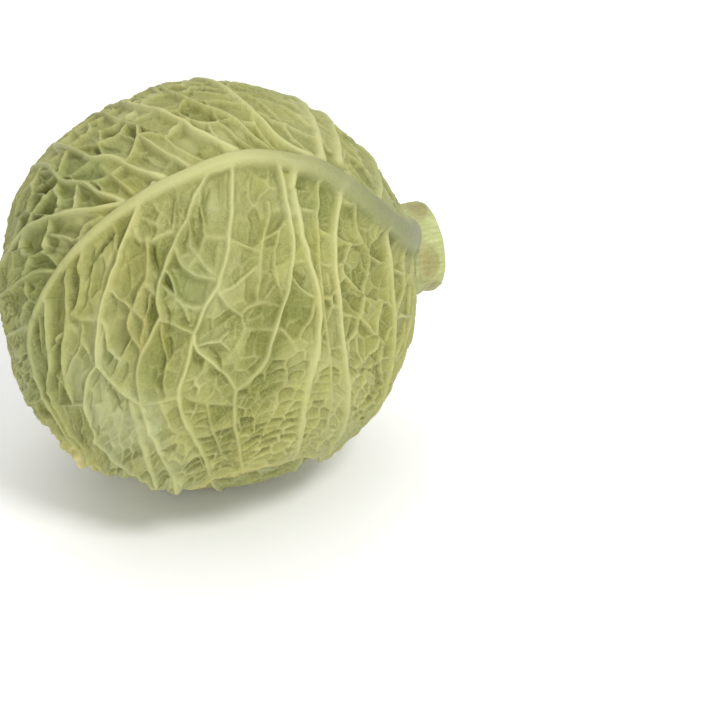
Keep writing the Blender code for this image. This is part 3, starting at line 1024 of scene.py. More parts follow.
def blank_material(name: str) -> tuple[bpy.types.Material, bpy.types.NodeTree]:
    """Make a material with an empty node tree."""
    material = bpy.data.materials.new(name)
    material.use_nodes = True
    material.node_tree.nodes.clear()
    return material, material.node_tree


@dataclass(frozen=True)
class LeafSkin:
    """Living cabbage leaf, grown: a thin waxy skin, wrinkled between its veinlets, so a dull soft sheen.

    Colours are sRGB hex, and the sizes of its patterns are in millimetres.
    """

    name: str
    blade: str
    # Colour of the painted shade in pockets, creases and folds.
    painted_shade: str
    sunny: str
    rib: str
    rim: str
    wax: str
    lush: str
    dry: str = "#cabf82"
    # Colour of the midrib's thick base: partly its own grey tone, partly painted shade.
    rib_base_grey_and_shade: str = "#777b5a"
    sheen: str = "#c8d2c0"
    roughness: float = 0.50
    patch_size: float = 34.0
    wax_size: float = 60.0
    mottle_size: float = 5.0
    wrinkle_size: float = 2.6
    bend_size: float = 6.0
    net_size: float = 4.4
    veinlet_size: float = 2.2
    bump_height: float = 0.9

    def build(self) -> bpy.types.Material:
        """Make the material: colour by vein and margin, painted shade in hollows, creases and on the
        midrib's base, patches of wax, and a fine net of veinlets.

        Returns:
            The material.
        """
        material, tree = blank_material(self.name)
        place = add_node(tree, "ShaderNodeTexCoord")
        vein, hollow, margin, sunny, bloom, dry, rib_base_grey_and_shade = (
            add_node(tree, "ShaderNodeAttribute", attribute_name=name).outputs["Fac"]
            for name in ("vein", "hollow", "margin", "sunny", "bloom", "dry", "rib_base_grey_and_shade"))
        patch, wax, mottle = (add_node(tree, "ShaderNodeTexNoise", {
            "Vector": place.outputs["Object"], "Scale": 1 / (size * MM), "Detail": detail,
            "Roughness": roughness, "Distortion": distortion}) for size, detail, roughness, distortion in (
                (self.patch_size, 3.0, 0.60, 0.0), (self.wax_size, 4.0, 0.62, 0.6),
                (self.mottle_size, 4.0, 0.65, 0.0)))
        lengthwise = add_node(tree, "ShaderNodeMapping", {
            "Vector": place.outputs["UV"], "Rotation": (0.0, 0.0, 0.35), "Scale": (1.0, 0.45, 1.0)})
        wrinkles = add_node(tree, "ShaderNodeTexNoise", {
            "Vector": lengthwise, "Scale": LEAF_UNIT / self.wrinkle_size, "Detail": 3.0, "Distortion": 0.4},
            noise_dimensions="2D")
        bent = add_node(tree, "ShaderNodeTexNoise", {
            "Vector": place.outputs["UV"], "Scale": LEAF_UNIT / self.bend_size, "Detail": 2.0},
            noise_dimensions="2D")
        bending = add_node(tree, "ShaderNodeVectorMath", {
            0: bent.outputs["Color"], 1: (0.03, 0.03, 0.0), 2: place.outputs["UV"]},
            operation="MULTIPLY_ADD")
        cells, veinlets = (add_node(tree, "ShaderNodeTexVoronoi", {
            "Vector": bending, "Scale": LEAF_UNIT / size, "Randomness": 0.95}, feature="DISTANCE_TO_EDGE",
            voronoi_dimensions="2D") for size in (self.net_size, self.veinlet_size))
        yellowed, dulled, on_blade, cell_lines, veinlet_lines, shown, fleck, roughness = (
            add_node(tree, "ShaderNodeMapRange", {
                "Value": value, "From Min": low, "From Max": high, "To Min": at_low, "To Max": at_high},
                interpolation_type=curve) for value, low, high, at_low, at_high, curve in (
                    (patch, 0.45, 0.70, 0.0, 0.45, "LINEAR"),
                    (wax, 0.44, 0.66, 0.0, 0.35, "LINEAR"),
                    (vein, 0.10, 0.75, 1.0, 0.06, "LINEAR"),
                    (cells, 0.01, 0.11, 1.0, 0.0, "SMOOTHSTEP"),
                    (veinlets, 0.0, 0.15, 0.45, 0.0, "LINEAR"),
                    (patch, 0.36, 0.58, 1.0, 0.1, "LINEAR"),
                    (mottle, 0.3, 0.7, 0.90, 1.10, "LINEAR"),
                    (mottle, 0.3, 0.7, self.roughness - 0.06, self.roughness + 0.08, "LINEAR")))
        cell_net = add_node(tree, "ShaderNodeMath", {0: cell_lines, 1: shown}, operation="MULTIPLY")
        net = add_node(tree, "ShaderNodeMath", {0: cell_net, 1: veinlet_lines}, operation="MAXIMUM")
        sun = add_node(tree, "ShaderNodeMath", {0: yellowed, 1: sunny}, operation="ADD", use_clamp=True)
        lush = add_node(tree, "ShaderNodeMath", {0: sunny, 1: -0.8}, operation="MULTIPLY", use_clamp=True)
        # The bloom and vein tints also carry painted light, from shade patches below nothing.
        waxed = add_node(tree, "ShaderNodeMath", {0: bloom, 1: 0.7, 2: dulled}, operation="MULTIPLY_ADD",
                         use_clamp=True)
        faint_net = add_node(tree, "ShaderNodeMath", {0: net, 1: 0.34}, operation="MULTIPLY")
        pale = add_node(tree, "ShaderNodeMath", {0: vein, 1: faint_net}, operation="MAXIMUM")
        colour = linear(self.blade)
        # Mixing by "hollow" towards the shade colour paints shade into pockets, creases, folds and the rib's
        # front side.
        for share, code in ((sun, self.sunny), (lush, self.lush), (waxed, self.wax), (hollow, self.painted_shade)):
            colour = add_node(tree, "ShaderNodeMix", {"Factor": share, "A": colour, "B": linear(code)},
                              data_type="RGBA")
        colour = add_node(tree, "ShaderNodeVectorMath", {0: colour, "Scale": fleck}, operation="SCALE")
        # The rib-base tint makes the midrib's thick base greyer and darker: partly its own tone, partly
        # painted shade.
        for share, code in ((pale, self.rib), (rib_base_grey_and_shade, self.rib_base_grey_and_shade), (margin, self.rim), (dry, self.dry)):
            colour = add_node(tree, "ShaderNodeMix", {"Factor": share, "A": colour, "B": linear(code)},
                              data_type="RGBA")
        relief = add_node(tree, "ShaderNodeMath", {0: net, 1: 0.30, 2: wrinkles}, operation="MULTIPLY_ADD")
        height = add_node(tree, "ShaderNodeMath", {0: relief, 1: on_blade}, operation="MULTIPLY")
        bump = add_node(tree, "ShaderNodeBump", {
            "Height": height, "Distance": self.bump_height * MM, "Strength": 0.55})
        shader = add_node(tree, "ShaderNodeBsdfPrincipled", {
            "Base Color": colour, "Roughness": roughness, "Normal": bump, "IOR": 1.42,
            "Specular IOR Level": 0.35, "Sheen Weight": 0.06, "Sheen Roughness": 0.5,
            "Sheen Tint": linear(self.sheen)})
        add_node(tree, "ShaderNodeOutputMaterial", {"Surface": shader})
        return material


@dataclass(frozen=True)
class StemFlesh:
    """Cabbage stem, grown and cut across: moist pale pith in a ring of fibres, under a tough green rind.

    Colours are sRGB hex, and the sizes of its patterns are in millimetres.
    """

    name: str = "cabbage_stem_cut"
    pith: str = "#cfcf9c"
    fibre: str = "#b3bd84"
    bast: str = "#c4c890"
    cortex: str = "#bcc388"
    rind: str = "#8f9a5e"
    side: str = "#b4b880"
    cork: str = "#8a7646"
    dried: str = "#b59a63"
    fibre_size: float = 1.4
    blotch_size: float = 9.0
    grain_size: float = 0.7
    bump_height: float = 0.15

    def build(self, axis_height: float) -> bpy.types.Material:
        """Make the material: rings on the cut face, streaks and corky scars on the side.

        Args:
            axis_height: Height of the stem's axis, on which the rings are centred.

        Returns:
            The material.
        """
        material, tree = blank_material(self.name)
        place = add_node(tree, "ShaderNodeTexCoord").outputs["Object"]
        cut, ring, scar = (add_node(tree, "ShaderNodeAttribute", attribute_name=name).outputs["Fac"]
                           for name in ("cut", "ring", "scar"))
        lengthwise = add_node(tree, "ShaderNodeMapping", {
            "Vector": place, "Location": (0.0, 0.0, -axis_height), "Scale": (0.16, 1.0, 1.0)})
        fibres, blotch, grain = (add_node(tree, "ShaderNodeTexNoise", {
            "Vector": where, "Scale": 1 / (size * MM), "Detail": detail, "Roughness": roughness})
            for where, size, detail, roughness in (
                (lengthwise, self.fibre_size, 3.0, 0.60), (place, self.blotch_size, 4.0, 0.60),
                (place, self.grain_size, 3.0, 0.55)))
        brown, streak, fleck = (add_node(tree, "ShaderNodeMapRange", {
            "Value": value, "From Min": low, "From Max": high, "To Min": at_low, "To Max": at_high})
            for value, low, high, at_low, at_high in (
                (blotch, 0.46, 0.72, 0.0, 0.55), (fibres, 0.35, 0.68, 0.0, 0.7),
                (grain, 0.3, 0.7, 0.92, 1.08)))
        rings = add_node(tree, "ShaderNodeValToRGB", {"Fac": ring})
        stops = rings.color_ramp.elements
        stops[0].color, stops[1].color = linear(self.pith), linear(self.rind)
        for spot, code in ((0.60, self.pith), (0.68, self.fibre), (0.74, self.bast), (0.86, self.cortex),
                           (0.95, self.rind)):
            stops.new(spot).color = linear(code)
        face, bark = (
            add_node(tree, "ShaderNodeMix", {"Factor": share, "A": base, "B": linear(code)},
                     data_type="RGBA")
            for share, base, code in ((brown, rings, self.dried), (streak, linear(self.side), self.rind)))
        scarred = add_node(tree, "ShaderNodeMix", {"Factor": scar, "A": bark, "B": linear(self.cork)},
                           data_type="RGBA")
        whole = add_node(tree, "ShaderNodeMix", {"Factor": cut, "A": scarred, "B": face}, data_type="RGBA")
        flecked = add_node(tree, "ShaderNodeVectorMath", {0: whole, "Scale": fleck}, operation="SCALE")
        relief = add_node(tree, "ShaderNodeMath", {0: fibres, 1: 0.8, 2: grain}, operation="MULTIPLY_ADD")
        bump = add_node(tree, "ShaderNodeBump", {
            "Height": relief, "Distance": self.bump_height * MM, "Strength": 0.7})
        shader = add_node(tree, "ShaderNodeBsdfPrincipled", {
            "Base Color": flecked, "Normal": bump, "Roughness": 0.48, "IOR": 1.42, "Specular IOR Level": 0.4,
            "Subsurface Weight": 0.10, "Subsurface Radius": (0.9, 1.0, 0.4), "Subsurface Scale": 0.002})
        add_node(tree, "ShaderNodeOutputMaterial", {"Surface": shader})
        return material


# ---------------------------------------------------------------- meshes


def read_places(mesh: bpy.types.Mesh) -> np.ndarray:
    """Places of a mesh's vertices, one per row."""
    places = np.empty(len(mesh.vertices) * 3, np.float32)
    mesh.vertices.foreach_get("co", places)
    return places.reshape(-1, 3).astype(float)


def write_places(mesh: bpy.types.Mesh, places: np.ndarray) -> None:
    """Move a mesh's vertices to new places."""
    mesh.vertices.foreach_set("co", places.astype(np.float32).ravel())
    mesh.update()


def store_tints(mesh: bpy.types.Mesh, tints: dict[str, np.ndarray]) -> None:
    """Store one number per vertex under each name."""
    for name, values in tints.items():
        layer = mesh.attributes.new(name, "FLOAT", "POINT")
        layer.data.foreach_set("value", np.asarray(values, np.float32))


def to_mesh(shape: bmesh.types.BMesh, name: str) -> bpy.types.Mesh:
    """Turn a finished bmesh into a mesh."""
    mesh = bpy.data.meshes.new(name)
    shape.to_mesh(mesh)
    shape.free()
    return mesh


def place_object(name: str, data: bpy.types.ID) -> bpy.types.Object:
    """Make an object of its data and put it in the scene."""
    obj = bpy.data.objects.new(name, data)
    bpy.context.scene.collection.objects.link(obj)
    return obj


def hand_over(mesh: bpy.types.Mesh, name: str, node: str, skin: bpy.types.Material,
              most_triangles: int = 0) -> bpy.types.Object:
    """Make a finished piece of a mesh and hand it to the frame.

    Args:
        mesh: The shaped mesh.
        name: Name of the piece.
        node: Solid that the piece stands for.
        skin: Its material.
        most_triangles: Where the mesh has more triangles than this, it is thinned to it.

    Returns:
        The piece.
    """
    mesh.materials.append(skin)
    mesh.shade_smooth()
    obj = place_object(name, mesh)
    mesh.calc_loop_triangles()
    triangles = len(mesh.loop_triangles)
    if most_triangles and triangles > most_triangles:
        thin = obj.modifiers.new("thin", "DECIMATE")
        thin.ratio = most_triangles / triangles
        bpy.context.view_layer.update()
        thinned = bpy.data.meshes.new_from_object(obj.evaluated_get(bpy.context.evaluated_depsgraph_get()))
        obj.modifiers.clear()
        obj.data = thinned
        bpy.data.meshes.remove(mesh)
        thinned.calc_loop_triangles()
        triangles = len(thinned.loop_triangles)
    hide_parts(node)
    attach(obj, BODY)
    LOG.info("%s: %d triangles", name, triangles)
    return obj


# ---------------------------------------------------------------- leaves


@dataclass
class Leaf:
    """One leaf: where it lies on the head, its veins, its crinkles and its skin.

    Bands along the rim are a start and a width, as shares of the way from the middle (0) to the margin (1).
    """

    MAP_REACH = 178.0
    LOBES = (5, 9, 14, 23, 34)
    TIP_LOBES = (3, 5, 8, 13)
    CORNER_ANGLE, CORNER_WIDTH = 0.93, 0.38
    BENT_BAND = (0.80, 0.20)
    DRY_BAND = (0.64, 0.12)
    SMOOTH_BAND = (0.900, 0.075)
    PALE_BAND = (0.965, 0.035)
    SEAM, SEAM_WIDTH = 0.962, 0.010

    name: str
    order: int
    form: HeadForm
    plan: VeinPlan
    crinkle: Crinkle
    fineness: Fineness
    skin: bpy.types.Material
    slot: str
    edge_drop: float = 2.0
    ruffle: float = 1.7
    corner_lobe: float = 0.0
    seed: int = field(init=False)

    def __post_init__(self) -> None:
        """Give each leaf its own draw."""
        self.seed = 1000 * (self.order + 1)

    @property
    def radius(self) -> float:
        """Radius of the leaf's sphere, in metres."""
        return self.form.leaf_radius(self.order)

    @property
    def size(self) -> float:
        """Size of the leaf compared with the outermost one, on which the vein plans are drawn."""
        return self.radius / self.form.radius

    def build(self) -> bpy.types.Object:
        """Model the leaf as one closed piece and hand it to the frame.

        Returns:
            The leaf's object.
        """
        map_step, facet, most_triangles = self.fineness.value
        flat = FlatMap(self.MAP_REACH, map_step / min(1.0, self.size / 0.7))
        relief = Relief(self.plan, self.crinkle, flat, self.seed)
        mesh = self._grids(facet)
        self._shape(mesh, relief)
        return hand_over(mesh, f"{self.name}_blade", self.name, self.skin, most_triangles)

    def _grids(self, facet: float) -> bpy.types.Mesh:
        """Lay a fine grid for the outside over a coarser one for the inside, and join their rims.

        Args:
            facet: Side of the outer facets, in millimetres.

        Returns:
            The flat double sheet, its outside at height 1 and its inside at height 0.
        """
        length = (self.form.petiole_angle + self.form.tip_angle) * self.radius / MM
        width = 2 * self.form.side_angle * self.radius / MM
        sheet = bmesh.new()
        along, across = int(length / facet), int(width / facet)
        for coarseness, height in ((1, 1.0), (4, 0.0)):
            bmesh.ops.create_grid(sheet, x_segments=along // coarseness, y_segments=across // coarseness,
                                  size=1.0, matrix=Matrix.Translation((0, 0, height)))
        bmesh.ops.bridge_loops(sheet, edges=[edge for edge in sheet.edges if edge.is_boundary])
        bmesh.ops.recalc_face_normals(sheet, faces=sheet.faces)
        return to_mesh(sheet, f"{self.name}_blade")

    def _outline(self, share: np.ndarray, lateral: np.ndarray) -> tuple[np.ndarray, np.ndarray]:
        """Spread the sheet over the leaf's outline.

        Args:
            share: Place from base (0) to tip (1).
            lateral: Place from the back margin (-1) to the front margin (1).

        Returns:
            Places along and across the flat leaf, in millimetres on the outermost leaf.
        """
        form = self.form
        scale = form.radius / MM
        rng = np.random.default_rng(self.seed + 20)
        lobes = np.zeros_like(share)
        for count in self.LOBES:
            phase = rng.uniform(0, 2 * np.pi, 2)
            turn = np.where(lateral > 0, phase[0], phase[1])
            lobes += np.sin(count * np.pi * share + turn) / (count ** 0.78)
        tip_lobes = sum(np.sin(count * np.pi * lateral + rng.uniform(0, 6)) / count ** 0.9
                        for count in self.TIP_LOBES)
        base = form.petiole_angle + form.petiole_root
        length = base + form.tip_angle - form.tip_rounding * lateral ** 2
        length = length + 0.025 * tip_lobes * share ** 4
        angle = -base + length * share
        waviness = 0.07 * lobes * np.abs(lateral) ** 3 * np.minimum(1.0, 3 * share)
        half = form.half_angle(share) * (1.0 + waviness)
        corner = bell(angle, self.CORNER_ANGLE, self.CORNER_WIDTH) * np.clip(lateral, 0.0, 1.0) ** 2
        half = half * (1.0 + self.corner_lobe * corner)
        side = -1.0 if self.order % 2 else 1.0
        spine = side * form.sway(angle) * np.minimum(1.0, 4.0 * share)
        return angle * scale, (spine + half * lateral) * scale

    def _shape(self, mesh: bpy.types.Mesh, relief: Relief) -> None:
        """Drape the sheet on the head with its relief, and store its tints.

        Args:
            mesh: The flat double sheet.
            relief: The leaf's maps.
        """
        sheet = read_places(mesh)
        share, lateral, outside = (sheet[:, 0] + 1) / 2, sheet[:, 1], sheet[:, 2] > 0.5
        along, across = self._outline(share, lateral)
        flat, blade = relief.flat, self.crinkle.blade
        rim = np.maximum(np.abs(lateral), 2 * share - 1)
        near_edge = ramp(rim, *self.BENT_BAND)
        direction = self._directions(along * self.size * MM, across * self.size * MM)
        cover = self.form.covered(direction, self.order)
        frills = flat.noise(14.0, self.seed + 30) + 0.5 * flat.noise(7.0, self.seed + 31)
        lowest = flat.blur(flat.lowest_near(relief.height, 2.0), 1.0)
        lift, floor, raised, frill, dry, vein, rib_base_grey_and_shade, hollow, sunny, bloom = (
            flat.sample(values, along, across) for values in (
                relief.height, lowest, relief.raised, frills, relief.dry, relief.vein, relief.rib_base_grey_and_shade,
                relief.hollow, relief.sunny, relief.bloom))
        floor = floor - blade
        lift = np.where(outside, lift, floor + (lift - 0.55 - floor) * near_edge ** 2)
        lift = np.where(cover > 0, lift * (1 - 0.7 * cover) - 0.8 * cover, lift) + raised
        dry = dry * ramp(rim, *self.DRY_BAND)
        seam = bell(rim, self.SEAM, self.SEAM_WIDTH) * np.clip(0.6 + 0.8 * frill, 0, 1)
        lift = lift * (1.0 - 0.92 * ramp(rim, *self.SMOOTH_BAND)) - 0.8 * seam * outside
        pressed = self.edge_drop * near_edge ** 1.2 - 1.8 * dry * near_edge ** 2
        lift += (self.ruffle * frill * near_edge ** 1.5 - pressed) * (1 - 0.6 * cover)
        centre = self.form.leaf_centre(self.order)
        places = centre + direction * (self.radius + lift * MM)[:, None]
        places[:, 2] = np.maximum(places[:, 2], np.where(outside, 0.0, blade * MM))
        write_places(mesh, places)
        # The tint "hollow" carries painted shade, with more of it in the groove pressed in near the rim.
        store_tints(mesh, {"vein": vein, "rib_base_grey_and_shade": rib_base_grey_and_shade, "hollow": np.maximum(hollow, 0.6 * seam),
                           "sunny": sunny, "bloom": bloom, "dry": 0.9 * dry,
                           "margin": 0.6 * ramp(rim, *self.PALE_BAND)})
        corners = np.empty(len(mesh.loops), np.int32)
        mesh.loops.foreach_get("vertex_index", corners)
        uv = np.stack([along, across], axis=1) * self.size / LEAF_UNIT
        mesh.uv_layers.new(name="flat_leaf").data.foreach_set("uv", uv[corners].astype(np.float32).ravel())

    def _directions(self, along: np.ndarray, across: np.ndarray) -> np.ndarray:
        """Lay flat places on the leaf's sphere, true to distance from the middle of the leaf.

        Args:
            along: Places towards the tip, in metres.
            across: Places towards the front margin.

        Returns:
            Unit directions from the sphere's centre, one per row.
        """
        middle, to_side, to_crown = self.form.leaf_axes(self.order)
        reach = np.hypot(along, across)
        angle = reach / self.radius
        safe = np.maximum(reach, 1e-9)
        sideways = (to_crown * (along / safe)[:, None]) + (to_side * (across / safe)[:, None])
        return middle * np.cos(angle)[:, None] + sideways * np.sin(angle)[:, None]


# ---------------------------------------------------------------- stem and heart


@dataclass
class StemCore:
    """The stem: a solid core up the middle of the head, with leaf scars and a knife-cut end, in metres."""

    form: HeadForm
    skin: bpy.types.Material
    sides: int = 200
    neck_x: float = 0.060
    neck_radius: float = 0.0185
    stub_x: float = 0.067
    scars: int = 7
    scar_half_length: float = 0.0042
    scar_half_width: float = 0.0085
    scar_setback: float = 0.0105
    scar_step: float = 0.0014
    beads: tuple[float, ...] = (-0.66, -0.36, 0.0, 0.36, 0.66)

    def build(self) -> bpy.types.Object:
        """Model the stem as one closed piece and hand it to the frame.

        Returns:
            The stem's object.
        """
        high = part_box("stem_core")[1].x
        mesh = self._turned(high)
        self._shape(mesh, high)
        return hand_over(mesh, "stem_core_flesh", "stem_core", self.skin)

    def _turned(self, cut_x: float) -> bpy.types.Mesh:
        """Turn the stem's outline about its axis.

        Args:
            cut_x: Where the stem is cut across.

        Returns:
            The turned solid.
        """
        form = self.form
        knots = (form.core_tip_x, self.neck_x, cut_x)
        radii = (form.core_tip_radius, self.neck_radius, form.core_radius)
        hidden = np.linspace(form.core_tip_x, self.stub_x - MM, 14)
        shown = np.linspace(self.stub_x, cut_x - 0.0006, 88)
        side = [(x, np.interp(x, knots, radii)) for x in np.concatenate([hidden, shown])]
        rim = [(cut_x - 0.0002, form.core_radius - 0.0001), (cut_x, form.core_radius - 0.0006)]
        face = [(cut_x, r) for r in np.linspace(form.core_radius - 0.0011, 0.0004, 46)]
        outline = [(form.core_tip_x, 0.0), *side, *rim, *face, (cut_x, 0.0)]
        solid = bmesh.new()
        corners = [solid.verts.new((x, 0.0, form.axis_height + r)) for x, r in outline]
        edges = [solid.edges.new(pair) for pair in zip(corners, corners[1:])]
        bmesh.ops.spin(solid, geom=corners + edges, cent=(0, 0, form.axis_height), axis=(1, 0, 0),
                       angle=2 * math.pi, steps=self.sides, use_merge=True)
        bmesh.ops.remove_doubles(solid, verts=solid.verts, dist=1e-6)
        bmesh.ops.recalc_face_normals(solid, faces=solid.faces)
        solid.verts.index_update()
        count = len(solid.verts)

        def rank(face: bmesh.types.BMFace) -> float:
            """Rank a face by its vertices, as merging leaves the faces in no fixed order."""
            first, second, third = sorted(vert.index for vert in face.verts)[:3]
            return float((first * count + second) * count + third)

        solid.faces.sort(key=rank)
        return to_mesh(solid, "stem_core_flesh")

    def _shape(self, mesh: bpy.types.Mesh, cut_x: float) -> None:
        """Press scars into the stub and give the cut end its knife marks.

        Args:
            mesh: The turned solid.
            cut_x: Where the stem is cut across.
        """
        form = self.form
        places = read_places(mesh)
        x, y, z = places[:, 0], places[:, 1], places[:, 2] - form.axis_height
        radius = np.hypot(y, z)
        turn = np.arctan2(-y, z)
        face = (x > cut_x - 1e-5) & (radius < form.core_radius - 0.0005)
        outward = np.where(face, 0.0, 1.0) * ramp(x, 0.05, 0.02)
        rows = turn * form.core_radius / MM
        push = 0.35 * waves(x / MM, rows, 5.0, 4.2, 501) + 0.12 * waves(x / MM, rows, 2.2, 0.9, 502)
        scar = np.zeros(len(x))
        for number in range(self.scars):
            roll = form.first_roll + (number - self.scars) * form.golden_angle + 0.35
            spot = cut_x - self.scar_setback + self.scar_step * number
            off_turn = (turn - roll + np.pi) % (2 * np.pi) - np.pi
            off_x = (x - spot) / self.scar_half_length
            off_side = off_turn * form.core_radius / self.scar_half_width
            reach = np.hypot(off_x + 0.35 * off_side ** 2, off_side)
            push -= 0.55 * np.exp(-reach ** 6) - 0.45 * bell(reach, 1.05, 0.16)
            beads = sum(np.exp(-((off_side - bead) / 0.07) ** 2 - ((off_x + 0.35 * bead * bead) / 0.22) ** 2)
                        for bead in self.beads)
            push += 0.22 * beads
            scar = np.maximum.reduce([scar, 0.55 * np.exp(-reach ** 6), 0.9 * np.clip(beads, 0, 1),
                                      0.35 * bell(reach, 1.05, 0.2)])
        grown = radius + outward * push * MM
        share = grown / np.maximum(radius, 1e-9)
        knife = 0.35 * waves(y / MM, z / MM, 14.0, 11.0, 503)
        knife += 0.05 * waves(y / MM + 0.4 * z / MM, z / MM, 0.8, 16.0, 504)
        ring = radius / form.core_radius
        dried = -0.55 * np.exp(-(ring / 0.5) ** 4) + 0.18 * bell(ring, 0.70, 0.05)
        new_x = x + face * (knife + dried) * MM * np.clip((1.0 - ring) / 0.06, 0, 1)
        new_x = np.minimum(new_x, cut_x)
        write_places(mesh, np.stack([new_x, y * share, z * share + form.axis_height], axis=1))
        on_face = (x > cut_x - 0.00025).astype(float)
        ripple = 0.02 * waves(turn * 20, ring * 0, 1.0, 1.0, 505)
        ripple += 0.015 * waves(y / MM, z / MM, 3.0, 3.0, 506)
        store_tints(mesh, {"cut": on_face, "ring": np.clip(ring + ripple, 0, 1),
                           "scar": scar * (1 - on_face)})


@dataclass
class HeartBud:
    """The growing point: tiny leaves still folded round each other."""

    form: HeadForm
    skin: bpy.types.Material
    leaves: int = 9

    def build(self) -> bpy.types.Object:
        """Model the bud as one closed piece and hand it to the frame.

        Returns:
            The bud's object.
        """
        low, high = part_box("heart_bud")
        centre, half = np.array((low + high) / 2), np.array((high - low) / 2)
        ball = bmesh.new()
        bmesh.ops.create_icosphere(ball, subdivisions=5, radius=1.0)
        mesh = to_mesh(ball, "heart_bud_leaves")
        spots = read_places(mesh)
        lift = 0.03 * waves(60 * spots[:, 1], 60 * spots[:, 2] + 40 * spots[:, 0], 6.0, 4.0, 601)
        seam = np.full(len(spots), FAR_AWAY)
        for number in range(self.leaves):
            roll = self.form.first_roll + number * self.form.golden_angle
            lean = 0.9 - 0.09 * number
            outward = math.cos(lean)
            axis = np.array([-math.sin(lean), -outward * math.sin(roll), outward * math.cos(roll)])
            off = np.arccos(np.clip(spots @ axis, -1, 1)) - (1.15 - 0.07 * number)
            lift += np.where(off < 0, 0.035 * (1 - np.exp(off / 0.05)), 0.0)
            seam = np.minimum(seam, np.abs(off))
        lift -= lift.max()
        write_places(mesh, centre + spots * half * (1 + lift)[:, None])
        # Painted shade: the tint "hollow" is strongest on the seams between the folded leaves.
        store_tints(mesh, {"vein": np.clip(-lift * 2, 0, 0.4), "hollow": bell(seam, 0.0, 0.03),
                           "margin": 0.3 * bell(seam, 0.0, 0.05)})
        mesh.uv_layers.new(name="flat_leaf")
        return hand_over(mesh, "heart_bud_leaves", "heart_bud", self.skin)


# ---------------------------------------------------------------- studio


@dataclass(frozen=True)
class Studio:
    """Pale floor, soft light and the camera, in metres and degrees.

    Each lamp has its place from the middle of the head, its size and its power in watts.
    """

    azimuth: float = -25.0
    elevation: float = 30.0
    lens: float = 85.0
    sensor: float = 36.0
    head_in_view: tuple[float, float, float] = (-0.0649, 0.0297, -0.7306)
    lamps: tuple[tuple[str, tuple[float, float, float], float, float], ...] = (
        ("key", (0.30, -0.92, 1.15), 0.45, 12.0),
        ("fill", (-0.62, -1.35, 0.16), 1.4, 11.0),
        ("top", (0.10, 0.70, 1.35), 1.6, 8.0))
    sky: float = 0.63
    floor_reach: float = 20.0
    paper: str = "#fcfcfb"

    def build(self, centre: Vector) -> None:
        """Set up floor, lights and camera around the head.

        Args:
            centre: Middle of the head.
        """
        self._floor()
        self._lights(centre)
        self._camera(centre)
        bpy.context.scene.view_settings.view_transform = "Standard"

    def _floor(self) -> None:
        """Lay the pale floor."""
        sheet = bmesh.new()
        bmesh.ops.create_grid(sheet, x_segments=1, y_segments=1, size=self.floor_reach)
        floor = place_object("floor", to_mesh(sheet, "floor"))
        material, tree = blank_material("white_backdrop_paper")
        shader = add_node(tree, "ShaderNodeBsdfPrincipled", {
            "Base Color": linear(self.paper), "Roughness": 0.9})
        add_node(tree, "ShaderNodeOutputMaterial", {"Surface": shader})
        floor.data.materials.append(material)

    def _lights(self, centre: Vector) -> None:
        """Hang a key lamp high to the right, a broad fill low in front and a broad top lamp, and a sky."""
        for name, offset, size, power in self.lamps:
            lamp = bpy.data.lights.new(name, "AREA")
            lamp.shape = "DISK"
            lamp.size = size
            lamp.energy = power
            light = place_object(name, lamp)
            light.location = centre + Vector(offset)
            light.rotation_euler = (centre - light.location).to_track_quat("-Z", "Y").to_euler()
        world = bpy.data.worlds.new("pale_sky")
        world.use_nodes = True
        background = world.node_tree.nodes["Background"].inputs
        background["Color"].default_value = linear("#ffffff")
        background["Strength"].default_value = self.sky
        bpy.context.scene.world = world

    def _camera(self, centre: Vector) -> None:
        """Place the camera so that the head lies left of the middle of the view.

        Args:
            centre: Middle of the head.
        """
        a, e = math.radians(self.azimuth), math.radians(self.elevation)
        back = Vector((math.sin(a) * math.cos(e), -math.cos(a) * math.cos(e), math.sin(e)))
        right = Vector((math.cos(a), math.sin(a), 0.0))
        up = back.cross(right)
        x, y, z = self.head_in_view
        data = bpy.data.cameras.new("camera")
        data.lens = self.lens
        data.sensor_width = self.sensor
        camera = place_object("camera", data)
        camera.location = centre - right * x - up * y - back * z
        camera.rotation_euler = Matrix((right, up, back)).transposed().to_euler()
        bpy.context.scene.camera = camera


# ---------------------------------------------------------------- the whole head


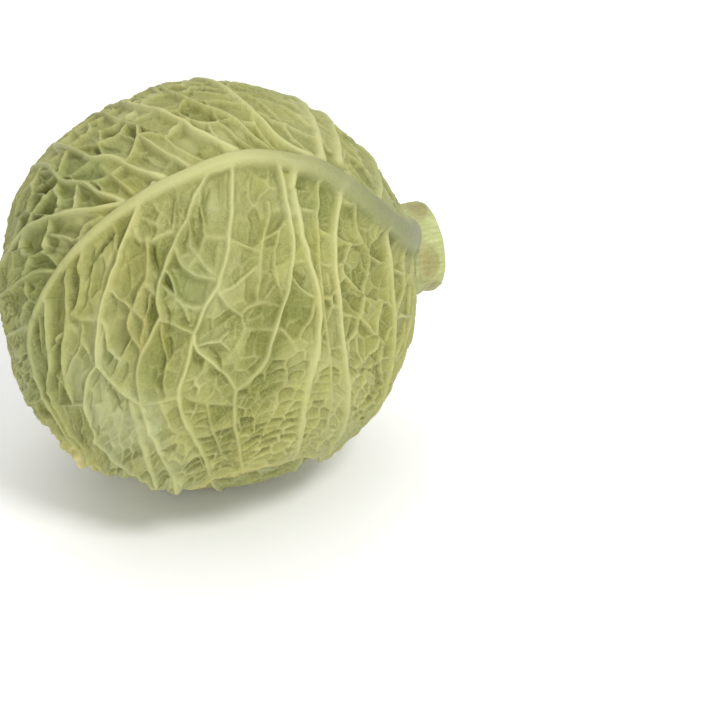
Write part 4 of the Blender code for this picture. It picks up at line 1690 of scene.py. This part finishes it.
@dataclass
class Head:
    """The whole head: every leaf from the outermost to the heart, with the stem core.

    Each skin has its name and the colours of blade, painted shade in hollows, sunny patches, ribs, rim, wax
    and lush patches.
    """

    SKINS = (
        ("savoy_leaf_waxy_green",
         "#999a58", "#6e7232", "#a39c56", "#b4b47b", "#b5ab68", "#9ca178", "#889053"),
        ("savoy_leaf_pale_green",
         "#a5ab6c", "#8f975a", "#aaa768", "#c2c38b", "#c2bb7c", "#adb48a", "#9aa364"),
        ("savoy_heart_leaf_yellow",
         "#cfc984", "#bdb56c", "#d3c87e", "#dedba8", "#d9cf90", "#d0cf9c", "#c5c47c"))
    WRAPPERS = (Fineness.SHOWN, Fineness.PARTLY_SHOWN, Fineness.PARTLY_SHOWN, Fineness.EDGES_SHOWN)
    FIRST_INSIDE = 8
    FIRST_HEART_LEAF = 12

    form: HeadForm = field(default_factory=HeadForm)

    def build(self) -> None:
        """Build all leaves, the stem and the heart."""
        outer, inner, heart = (LeafSkin(*row).build() for row in self.SKINS)
        for order, fineness in enumerate(self.WRAPPERS):
            Leaf(f"wrapper_leaf_{order + 1:02d}", order, self.form, self._plan(order), Crinkle(), fineness,
                 outer, "wrapper_leaf", corner_lobe=0.0 if order else 0.16).build()
        wrappers = len(self.WRAPPERS)
        for order in range(wrappers, wrappers + self.form.head_leaves):
            in_heart = order >= self.FIRST_HEART_LEAF
            fineness = Fineness.INSIDE if order >= self.FIRST_INSIDE else Fineness.GLIMPSED
            Leaf(f"head_leaf_{order + 1:02d}", order, self.form, self._plan(order), HEAD_CRINKLE, fineness,
                 heart if in_heart else inner, "heart_leaf" if in_heart else "head_leaf",
                 edge_drop=0.8, ruffle=0.5).build()
        StemCore(self.form, StemFlesh().build(self.form.axis_height)).build()
        HeartBud(self.form, heart).build()

    def _plan(self, order: int) -> VeinPlan:
        """Plan a leaf's veins: the outermost has its own, and the others go by rule."""
        return ruled_plan(70 + order, -1.0 if order % 2 else 1.0) if order else outermost_plan()


def main() -> None:
    """Build the head and the studio."""
    logging.basicConfig(level=logging.INFO, format="%(message)s")
    head = Head()
    head.build()
    Studio().build(Vector((0.0, 0.0, head.form.axis_height)))


if __name__ == "__main__":
    main()
